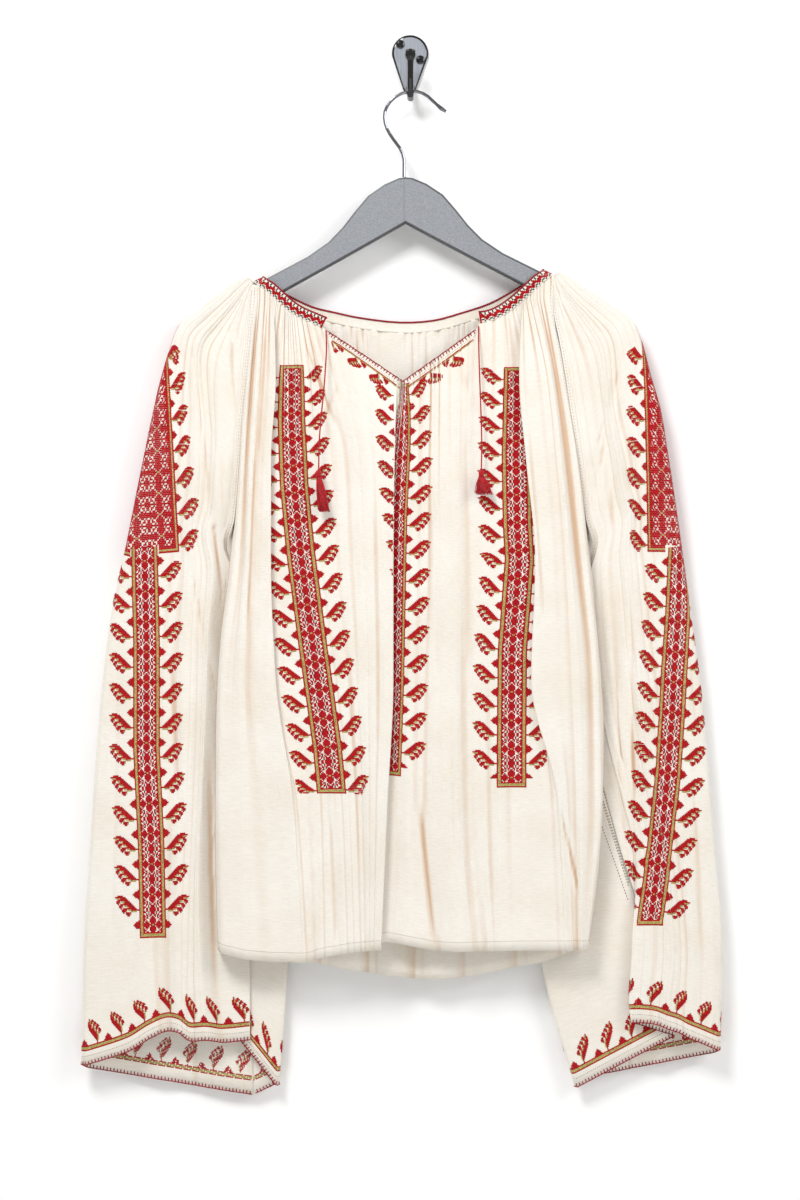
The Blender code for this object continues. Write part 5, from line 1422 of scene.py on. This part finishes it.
def wall_finish():
    """Pale wall that can't be seen, and casts no shade, from behind."""
    made, tree, shader = finish("wall_paint", Roughness=0.95)
    shader.inputs["Base Color"].default_value = hex_colour("FFFFFF")
    back = node(tree, "ShaderNodeNewGeometry").outputs["Backfacing"]
    clear = node(tree, "ShaderNodeBsdfTransparent")
    mixed = node(tree, "ShaderNodeMixShader", {},
                 {"Fac": back, 1: shader.outputs["BSDF"], 2: clear.outputs["BSDF"]})
    tree.links.new(mixed.outputs["Shader"], tree.nodes["Material Output"].inputs["Surface"])
    return made


def fine_rows(last):
    """Row values that lie closer at the top, where the gathers are."""
    count = FINE_ROWS
    return [ROWS[0] + (last - ROWS[0]) * (0.5 * k / count + 0.5 * (k / count) ** 2)
            for k in range(count + 1)]


def fine_places(folds, columns):
    places = [i + k / (columns * fold[-1]) for i, fold in enumerate(folds[:-1])
              for k in range(columns * fold[-1])]
    return places + [float(len(folds) - 1)]


def line_names(folds, places):
    """Column of each fold line by name."""
    return {fold[0]: min(range(len(places)), key=lambda c: abs(places[c] - i))
            for i, fold in enumerate(folds)}


def panel_cloth(panel, gather):
    places = fine_places(panel.folds, PANEL_COLUMNS)
    tops = [panel.top(p) for p in places]
    grid = [[panel.point(row, p, top) for p, top in zip(places, tops)]
            for row in fine_rows(ROWS[-1])]
    cloth = Cloth(grid, HALF_CLOTH, line_names(panel.folds, places))
    phases = [FINE_GATHERS * gather_phase(panel.folds, p) for p in places]
    fine_gathers(cloth, phases, gather)
    return cloth


def sleeve_cloth(sleeve, gather):
    places = fine_places(sleeve.folds, SLEEVE_COLUMNS_FINE)
    grid = [[sleeve.point(row, p) for p in places] for row in fine_rows(sleeve.last)]
    cloth = Cloth(grid, HALF_CLOTH, line_names(sleeve.folds, places))
    phases = [FINE_GATHERS * gather_phase(sleeve.folds, p) for p in places]
    below = cloth.fall
    open_up = np.clip((below - 6.0) / 30.0, 0, 1)
    wave_height = gather * open_up * np.exp(-below / SLEEVE_GATHER_FADE) + REST_GATHER
    ends = np.clip(np.minimum(cloth.run, cloth.run[:, -1:] - cloth.run) / 6.0, 0, 1)
    wave_line = np.array([uneven(round(p)) * math.sin(2 * math.pi * p) for p in phases])
    cloth.grid[..., 2] += wave_line[None, :] * wave_height * ends
    cloth.measure()
    return cloth


def gore_cloth(sleeve, table):
    rows = [row for row in fine_rows(sleeve.last) if row >= ARMHOLE_END]
    grid = []
    for row in rows:
        line = [Vector(p) for p in gore_section(sleeve, table, row)]
        grid.append([across_section(line, k / GORE_COLUMNS)
                     for k in range((len(line) - 1) * GORE_COLUMNS + 1)])
    return Cloth(grid, HALF_CLOTH)


def collar_frames():
    """Centre, lean and outward direction of the band, close together along its path."""
    stations = collar_stations()
    path = [Vector(s[:3]) for s in stations]
    count = 3 * (len(stations) - 1)
    centres = [across_section(path, k / 3) for k in range(count + 1)]
    turns = [smooth(range(len(stations)), [s[3] for s in stations], k / 3)
             for k in range(count + 1)]
    frames = []
    for k, (centre, turn) in enumerate(zip(centres, turns)):
        ahead = centres[min(k + 1, count)] - centres[max(k - 1, 0)]
        lean = Vector((-math.sin(turn), math.cos(turn), 0.0))
        frames.append((centre, lean, ahead.cross(lean).normalized()))
    return frames


def collar_cloth():
    """The band's outer face as a cloth, from its top edge to its lower edge."""
    frames = collar_frames()
    half = COLLAR_WIDTH / 2 - 0.3
    grid = []
    for k in range(COLLAR_ROWS + 1):
        reach = half * (2 * k / COLLAR_ROWS - 1)
        crown = 0.35 * (1 - (reach / half) ** 2)
        grid.append([centre + lean * reach + outward * side_sign(outward, centre) * crown
                     for centre, lean, outward in frames])
    return Cloth(grid, COLLAR_THICK / 2 - 0.35)


def side_sign(outward, centre):
    """1 where a direction already leads out of the neck, -1 where it leads in."""
    from_neck = centre - Vector((COLLAR_MIDDLE[0], centre.y, COLLAR_MIDDLE[1]))
    return 1.0 if outward.dot(from_neck) >= 0 else -1.0


def swept_ring(points, centre, across, up, sides, radius, start):
    for k in range(sides):
        angle = 2 * math.pi * k / sides + start
        points.append(centre + across * (radius * math.cos(angle)) + up * (radius * math.sin(angle)))


def tube_mesh(points, faces, path, radii, sides, start=0.0):
    """Add a closed tube along sheet points to lists of points and faces."""
    first = len(points)
    up = Vector((0.0, 0.0, 1.0))
    for i, centre in enumerate(path):
        ahead = (path[min(i + 1, len(path) - 1)] - path[max(i - 1, 0)]).normalized()
        across = ahead.cross(up).normalized()
        swept_ring(points, centre, across, across.cross(ahead), sides, radii[i], start)
    for i in range(len(path) - 1):
        for k in range(sides):
            a = first + i * sides + k
            b = first + i * sides + (k + 1) % sides
            faces.append((a, b, b + sides, a + sides))
    last = first + (len(path) - 1) * sides
    faces.append(tuple(range(first + sides - 1, first - 1, -1)))
    faces.append(tuple(range(last, last + sides)))


def solid_piece(name, points, faces, finishes):
    """Piece from sheet points, with its faces turned outward."""
    mesh = bpy.data.meshes.new(name)
    mesh.from_pydata([place(*p) for p in points], [], faces)
    shape = bmesh.new()
    shape.from_mesh(mesh)
    bmesh.ops.recalc_face_normals(shape, faces=shape.faces)
    shape.to_mesh(mesh)
    shape.free()
    for one in finishes:
        mesh.materials.append(one)
    mesh.shade_smooth()
    made = linked(name, mesh)
    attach(made, "root")
    return made


def twisted_tie(name, route):
    """Two-ply twisted cord along a route; it also gives back its centre line and length."""
    centre = resample([Vector(p) for p in route], TIE_STATIONS)
    points, faces = [], []
    length = sum((b - a).length for a, b in zip(centre, centre[1:]))
    for ply in range(2):
        path = []
        for i, at in enumerate(centre):
            ahead = (centre[min(i + 1, len(centre) - 1)] - centre[max(i - 1, 0)]).normalized()
            across = ahead.cross(Vector((0.0, 0.0, 1.0))).normalized()
            angle = 2 * math.pi * length * i / (len(centre) - 1) / TWIST_PITCH + math.pi * ply
            path.append(at + across * (CORD_RADIUS * 0.5 * math.cos(angle))
                        + across.cross(ahead) * (CORD_RADIUS * 0.5 * math.sin(angle)))
        tube_mesh(points, faces, path, [CORD_RADIUS * 0.52] * len(path), 6)
    return solid_piece(name, points, faces, [THREADS["tie"]]), centre, length


def tassel(name, node_name, tie_end):
    """Loose strands from under a bound head, which hangs from the end of a tie."""
    foot_across, foot_down, spread = TASSELS[node_name]
    points, faces = [], []
    top = Vector((tie_end[0], tie_end[1] + GAP, tie_end[2]))
    head = [(0.0, 1.0), (0.6, 2.2), (1.8, 2.9), (3.4, 2.9), (4.6, 2.3), (5.4, 2.3), (6.6, 2.9)]
    tube_mesh(points, faces, [top + Vector((0, d, 0)) for d, _r in head], [r for _d, r in head], 16)
    for turn in range(4):
        ring = [top + Vector((2.45 * math.cos(a), 4.3 + 0.45 * turn, 2.45 * math.sin(a)))
                for a in (2 * math.pi * k / 16 for k in range(17))]
        tube_mesh(points, faces, ring, [0.3] * len(ring), 4)
    for k in range(TASSEL_STRANDS_SHOWN):
        share = (k + 0.5) / TASSEL_STRANDS_SHOWN
        angle = k * GOLDEN_ANGLE
        inner = math.sqrt(share)
        reach = spread * inner * (0.85 + 0.15 * uneven(k * 3))
        root = top + Vector((1.9 * inner * math.cos(angle), 4.8, 1.9 * inner * math.sin(angle)))
        foot = Vector((foot_across + reach * math.cos(angle), foot_down - 3.5 * uneven(k * 5),
                       tie_end[2] + 2.0 + min(reach, 4.6) * math.sin(angle)))
        bend = root.lerp(foot, 0.45) + Vector((1.1 * math.cos(angle * 1.3 + 1), 0.0,
                                               0.6 * math.sin(angle * 1.7)))
        path = [across_section([root, bend, foot], t / 3) for t in range(7)]
        tube_mesh(points, faces, path, [0.42, 0.42, 0.42, 0.42, 0.4, 0.38, 0.3], 4, angle)
    return solid_piece(name, points, faces, [THREADS["tie"]])


def wall_plate_piece():
    """The plate's own outline with a black bevelled rim round a satin face."""
    outline = arc((410.2, 48.2), 18.3, -101, 101, 41) + arc((409.6, 81.7), 7.2, 101, 259, 21)
    middle = Vector((410.0, 58.0))
    rings = ((0.0, 0.0), (0.0, PLATE_THICK - 1.3), (1.5, PLATE_THICK - 0.25), (2.4, PLATE_THICK))
    points, faces = [], []
    for inset, out in rings:
        for across, down in outline:
            aside = Vector((across, down)) - middle
            aside = aside * (1 - inset / aside.length)
            points.append(Vector((middle.x + aside.x, middle.y + aside.y, out)))
    wide = len(outline)
    for r in range(len(rings) - 1):
        for k in range(wide):
            n = (k + 1) % wide
            faces.append((r * wide + k, r * wide + n, (r + 1) * wide + n, (r + 1) * wide + k))
    last = (len(rings) - 1) * wide
    faces.append(tuple(range(wide - 1, -1, -1)))
    faces.append(tuple(range(last, last + wide)))
    made = solid_piece("plate_with_rim", points, faces, [PLATE_BLACK, PLATE_GREY])
    made.data.polygons[len(faces) - 1].material_index = 1
    for face in made.data.polygons:
        face.use_smooth = False
    return made


def arc(centre, radius, start, stop, count):
    """Points on an arc; angles in degrees from straight up, clockwise on the sheet."""
    angles = [math.radians(start + (stop - start) * k / (count - 1)) for k in range(count)]
    return [(centre[0] + radius * math.sin(a), centre[1] - radius * math.cos(a)) for a in angles]


def wall_and_floor():
    """Pale wall that the plate is screwed to, and a floor far below."""
    wall, ground, side = WALL_BACK, FLOOR_LEVEL, STAGE_SIDE
    for name, corners, one in (
            ("wall", ((-side, wall, ground), (side, wall, ground), (side, wall, WALL_TOP),
                      (-side, wall, WALL_TOP)), wall_finish()),
            ("floor", ((-side, FLOOR_FRONT, ground), (side, FLOOR_FRONT, ground),
                       (side, wall, ground), (-side, wall, ground)),
             stage_white("floor_paint", "ECEBE8"))):
        mesh = bpy.data.meshes.new(name)
        mesh.from_pydata(corners, [], [(0, 1, 2, 3)])
        mesh.materials.append(one)
        linked(name, mesh)


def soft_light(name, place_at, aim_at, size, power):
    light = bpy.data.lights.new(name, "AREA")
    light.shape = "DISK"
    light.size = size
    light.energy = power
    made = linked(name, light)
    made.location = place_at
    made.rotation_euler = (Vector(aim_at) - Vector(place_at)).to_track_quat("-Z", "Y").to_euler()


def studio():
    """Camera square to the blouse, and large soft lights."""
    camera = linked("camera", bpy.data.cameras.new("camera"))
    camera.location = CAMERA_PLACE
    camera.rotation_euler = (math.pi / 2, 0.0, 0.0)
    camera.data.lens = CAMERA_LENS
    bpy.context.scene.camera = camera
    for name, place_at, size, power in LIGHTS:
        soft_light(name, place_at, LIGHTS_AIM, size, power)
    # Keeps the wall white and the thread colours as their hex values say.
    bpy.context.scene.view_settings.view_transform = "Standard"
    world = bpy.data.worlds.new("studio")
    bpy.context.scene.world = world
    world.use_nodes = True
    back = world.node_tree.nodes["Background"]
    back.inputs["Color"].default_value = hex_colour("FFFFFF")
    back.inputs["Strength"].default_value = WORLD_STRENGTH


def sew_front(cloth):
    work = Needlework(cloth)
    bands = (
        Band(LEFT_BAND, 365.4, 792.0, 390.0, CROSS, ("left pleat tuck", "neck ridge"), (-1, 1)),
        Band(CENTRE_BAND, 383.6, 774.0, 408.5, 0.92, ("centre pleat tuck", "right breast"), (1,)),
        Band(PLEAT_LEAVES, 383.6, 590.0, 408.5, 1.2, ("neck ridge", "centre pleat edge"), (-1,),
             leaves_only=True),
        Band(RIGHT_BAND, 367.4, 786.5, 392.0, CROSS, ("right trough", "right pleat tuck"), (-1, 1)))
    for band in bands:
        sew_band(work, band)
    top_across = np.maximum.accumulate(cloth.grid[0][:, 0])
    first, middle, last = (float(np.interp(a, top_across, cloth.run[0]))
                           for a in (SLIT_ENDS[0], SLIT_POINT[0], SLIT_ENDS[1]))
    edge_ticks(work, "top", first, last)
    hem_dots(work, "top", first, last, 6.2)
    cells = []
    for end, side in ((first, -1.0), (last, 1.0)):
        reach = abs(end - middle)
        for s in np.arange(6.0, reach - 3.0, CROSS):
            cells += [(middle + side * s, SLIT_BORDER + k * CROSS, c)
                      for k, c in enumerate(BORDER_LETTERS[:2])]
        for start in np.arange(SLIT_FIRST, reach, SLIT_REPEAT):
            for r, row in enumerate(LEAF):
                s = middle + side * (start + (LEAF_ROOT - r) * SLIT_LEAF_WIDE)
                cells += [(s, SLIT_BORDER + 2 * CROSS + k * SLIT_LEAF_TALL, c)
                          for k, c in enumerate(row)]
            for r, row in enumerate(TOOTH):
                s = middle + side * (start - SLIT_TOOTH_BACK + r * CROSS)
                cells += [(s, SLIT_BORDER + 2 * CROSS + k * CROSS, c) for k, c in enumerate(row)]
    sew_on_edge(work, "top", [c for c in cells if first < c[0] < last],
                (CROSS, CROSS, STITCH_HEIGHT))
    seam_dashes(work, 2)
    hem_dots(work, "bottom", 4.0, cloth.run[-1, -1] - 4.0, 9.5)
    return work.sew("front_stitches")


def shoulder_block(work, edge, names, band_places):
    """Dense block of tiled flowers over the outer fold, open where the band joins it."""
    cloth = work.cloth
    first, last = (cloth.names[name] for name in names)
    tile = BLOCK_FIELD
    band_middle = abs(band_places[0][1] - edge[-1][1])
    band_half = (len(FIELD[0]) / 2 + BORDER) * SLEEVE_BAND_CROSS
    step_down = SHOULDER_TILE[1] / len(tile)
    step_across = SHOULDER_TILE[0] / len(tile[0])
    rows_down = SHOULDER_ROWS * len(tile)
    wide = SHOULDER_TILES * len(tile[0])
    starts, guess = [], 10.0
    for n in range(rows_down + 2 * BORDER):
        down = SHOULDER_BOTTOM - (rows_down + 2 * BORDER - 1 - n) * step_down
        middle = np.interp(down, [d for d, _a in edge], [a for _d, a in edge])
        guess, column = cloth.find(middle, down, min(first, last), max(first, last), guess)
        starts.append((guess, column, cloth.square_tilt(guess, column + 12, 0.05)))
    # Tilts averaged over the rows near by keep the rows side by side on the far side too.
    own_tilts = np.pad([s[2] for s in starts], BLOCK_EVEN_ROWS, mode="edge")
    share = np.full(2 * BLOCK_EVEN_ROWS + 1, 1.0 / (2 * BLOCK_EVEN_ROWS + 1))
    tilts = np.convolve(own_tilts, share, mode="valid")
    for n, (row, column, _own_tilt) in enumerate(starts):
        _points, run = cloth.line(row)
        start = np.interp(column, np.arange(len(run)), run)
        tilt = tilts[n]
        cells = []
        for k in range(-BORDER, wide + BORDER):
            from_edge = (k + BORDER + 0.5) * step_across
            if n >= rows_down + BORDER and abs(from_edge - band_middle) < band_half:
                continue
            ring = min(k + BORDER, wide + BORDER - 1 - k, n, rows_down + 2 * BORDER - 1 - n)
            if ring < BORDER:
                letter = BLOCK_BORDER[ring]
            else:
                letter = tile[(n - BORDER) % len(tile)][k % len(tile[0])]
            cells.append((from_edge, letter))
        for letter, thread in LETTERS.items():
            goals = np.array([start + u for u, c in cells if c == letter])
            goals = goals[(goals > 0.5) & (goals < run[-1] - 0.5)]
            columns = np.interp(goals, run, np.arange(len(run)))
            work.lay(thread, row + tilt * np.minimum(goals - start, BLOCK_TURN), columns,
                     (step_across * STITCH_OVERLAP, step_down * STITCH_OVERLAP,
                      STITCH_HEIGHT))


def cuff_cells(length, lean):
    """Border, leaves and teeth above a cuff's edge, from end to end."""
    cells = []
    for s in np.arange(CUFF_END, length - CUFF_END, CROSS):
        cells += [(s, CUFF_BORDER + k * CUFF_LINE, c) for k, c in enumerate(BORDER_LETTERS)]
    base = CUFF_BORDER + BORDER * CUFF_LINE
    for start in np.arange(CUFF_REPEAT * CUFF_LEAF_FIRST, length, CUFF_REPEAT):
        for r, row in enumerate(LEAF):
            s = start + lean * (r - LEAF_ROOT) * CUFF_LEAF_WIDE
            cells += [(s, base + k * CUFF_LEAF_TALL, c) for k, c in enumerate(row)]
        for r, row in enumerate(TOOTH):
            s = start + lean * CUFF_REPEAT * CUFF_TOOTH_SHARE + (r - len(TOOTH) / 2) * CROSS
            cells += [(s, base + k * CUFF_LINE, c) for k, c in enumerate(row)]
    return [(s, h, c) for s, h, c in cells if CUFF_END < s < length - CUFF_END]


def sew_cuff(work, lean):
    length = work.cloth.run[-1, -1]
    cells = cuff_cells(length, lean)
    sew_on_edge(work, "bottom", cells, (CROSS * 1.05, CUFF_LINE * 1.08, STITCH_HEIGHT))
    edge_ticks(work, "bottom", 1.0, length - 1.0)
    hem_dots(work, "bottom", 2.0, length - 2.0, 8.6)
    inner = [c for n, c in enumerate(cells) if n % 7]
    sew_on_edge(work, "bottom", inner, (CROSS * 0.95, CROSS, STITCH_HEIGHT * 0.7), inside=True)


def sew_sleeve(cloth, name, edge, names, band_places, bottom, lean):
    work = Needlework(cloth)
    shoulder_block(work, edge, names, band_places)
    sew_band(work, Band(band_places, SHOULDER_BOTTOM - 5.0, bottom, SHOULDER_BOTTOM + 10.0,
                        SLEEVE_BAND_CROSS, names, (-1, 1), SLEEVE_BAND_PITCH, on_sleeve=True))
    side = 1 if edge[0][1] < SHEET_ACROSS else -1
    sew_band(work, Band([(d, a - side * 0.6) for d, a in edge], BLOCK_LEAF_TOP,
                        SHOULDER_BOTTOM + 3.0, BLOCK_LEAF_TOP - 1.0, CROSS, names, (side,),
                        BLOCK_LEAF_PITCH, leaves_only=True, on_sleeve=True))
    sew_cuff(work, lean)
    seam_dashes(work, 3)
    return work.sew(name)


def sew_gore(cloth, name, lines):
    work = Needlework(cloth)
    sew_cuff(work, 1.0)
    for way in lines:
        dashed_line(work, way, 0, 4 * GORE_COLUMNS, 60.0)
    return work.sew(name)


def sew_collar(cloth):
    """Zigzag of crosses round the band, and a whipped thread along its top edge."""
    work = Needlework(cloth)
    length = cloth.run[0, -1]
    cells = []
    for k, s in enumerate(np.arange(0.8, length - 0.5, CROSS)):
        for r, row in enumerate(COLLAR_CHART):
            cells.append((s, 2.0 + r * CROSS, row[k % len(row)]))
    sew_on_edge(work, "top", [c for c in cells if c[2] != "."], (CROSS * 1.1, CROSS * 1.1, 0.5))
    runs = np.arange(0.6, length - 0.4, 1.9)
    rows, columns = cloth.from_edge("top", runs, np.full(len(runs), 0.3))
    work.lay("edge", rows, columns, (2.4, 1.5, 0.9), lean=0.5)
    work.lay("edge", rows, columns, (2.4, 1.5, 0.9), lean=-0.5, inside=True)
    for column in (0.3, len(cloth.grid[0]) - 1.3):
        rows = np.linspace(0.2, COLLAR_ROWS - 0.2, 9)
        work.lay("red", rows, np.full(len(rows), column), (1.6, 1.8, 0.6))
    return work.sew("collar_stitches")


THREADS = {
    "red": cotton_thread("red_stitching", "82000C", "C40010"),
    "gold": cotton_thread("gold_stitching", "85783E", "C6B972"),
    "dark": cotton_thread("dark_stitching", "1A1D16", "3B4432"),
    "edge": cotton_thread("edge_stitching", "74081A", "AC0E26"),
    "seam": cotton_thread("seam_stitching", "8C8172", "B8AC9A"),
    "tie": cotton_thread("twisted_red_thread", "88000E", "CE0A1C", 0.5, 0.2)}
STITCH_TREE, STITCH_THREAD = stitch_tree()
GAUZE = cotton_gauze()
PLATE_GREY = brushed_plate()
PLATE_BLACK = black_gloss()

studio()
wall_and_floor()

left_sleeve = FineSleeve(SLEEVE_LEFT, LEFT_FRONT_FOLDS, LEFT_BACK_FOLDS, 0.0)
right_sleeve = FineSleeve(SLEEVE_RIGHT, RIGHT_FRONT_FOLDS, RIGHT_BACK_FOLDS, RIGHT_TOP_SHIFT)
front_cloth = panel_cloth(
    FinePanel(FRONT_FOLDS, FRONT_HEIGHTS, FRONT_LIFT_HEIGHTS, FRONT_BASE, True),
    FRONT_GATHER)
back_cloth = panel_cloth(
    FinePanel(BACK_FOLDS, BACK_HEIGHTS, BACK_LIFT_HEIGHTS, BACK_BASE, False), BACK_GATHER)
left_cloth = sleeve_cloth(left_sleeve, SLEEVE_GATHER)
right_cloth = sleeve_cloth(right_sleeve, SLEEVE_GATHER)
for cloth, creases in ((front_cloth, FRONT_CREASES), (back_cloth, BACK_CREASES),
                       (left_cloth, LEFT_SLEEVE_CREASES), (right_cloth, RIGHT_SLEEVE_CREASES)):
    soft_creases(cloth, creases)
    crinkle(cloth, CRINKLE_HEIGHT)
left_gore = gore_cloth(left_sleeve, GORE_LEFT)
right_gore = gore_cloth(right_sleeve, GORE_RIGHT)
collar = collar_cloth()

stitches = {
    "front": sew_front(front_cloth),
    "left": sew_sleeve(left_cloth, "left_sleeve_stitches", LEFT_SHOULDER_EDGE,
                       ("underarm slope", "outer fold"), LEFT_SLEEVE_BAND, 938.0, -1.0),
    "right": sew_sleeve(right_cloth, "right_sleeve_stitches", RIGHT_SHOULDER_EDGE,
                        ("seam slope", "outer fold"), RIGHT_SLEEVE_BAND, 925.0, -1.0),
    "left_gore": sew_gore(left_gore, "left_gore_stitches", ()),
    "right_gore": sew_gore(right_gore, "right_gore_stitches", RIGHT_GORE_SEAMS),
    "collar": sew_collar(collar)}
for name, cloth, node_name, flat, area, held, extra in (
        ("front_gauze", front_cloth, "front_panel", (0.50, 0.66), None, "hung", "front"),
        ("back_gauze", back_cloth, "back_panel", (0.42, 0.68), None, "hung", None),
        ("left_sleeve_gauze", left_cloth, "sleeve_left", (0.31, 0.78), None, "hung", "left"),
        ("right_sleeve_gauze", right_cloth, "sleeve_right", (0.29, 0.77), None, "hung", "right"),
        ("left_gore_gauze", left_gore, "gore_left", (0.10, 0.50), 0.028, "hung", "left_gore"),
        ("right_gore_gauze", right_gore, "gore_right", (0.16, 0.50), 0.045, "hung", "right_gore"),
        ("collar_gauze", collar, "collar_band", (0.0115, 0.62), None, "gathered", "collar")):
    made = shell(name, cloth, GAUZE)
    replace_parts(made, node_name)

for side in ("left", "right"):
    route = TIE_ROUTES[f"tie_{side}"]
    tie, centre, length = twisted_tie(f"{side}_tie_cord", route)
    tuft = tassel(f"{side}_tassel", f"tassel_{side}", route[-1])
    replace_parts(tie, f"tie_{side}")
    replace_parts(tuft, f"tassel_{side}")

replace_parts(wall_plate_piece(), "wall_plate")
for node_name, one in (("hanger_wood", painted_wood()), ("hanger_wire", polished_steel()),
                       ("coat_hook", PLATE_BLACK), ("plate_screw_1", PLATE_BLACK),
                       ("plate_screw_2", PLATE_BLACK)):
    for slot in bpy.data.objects[node_name].material_slots:
        slot.material = one
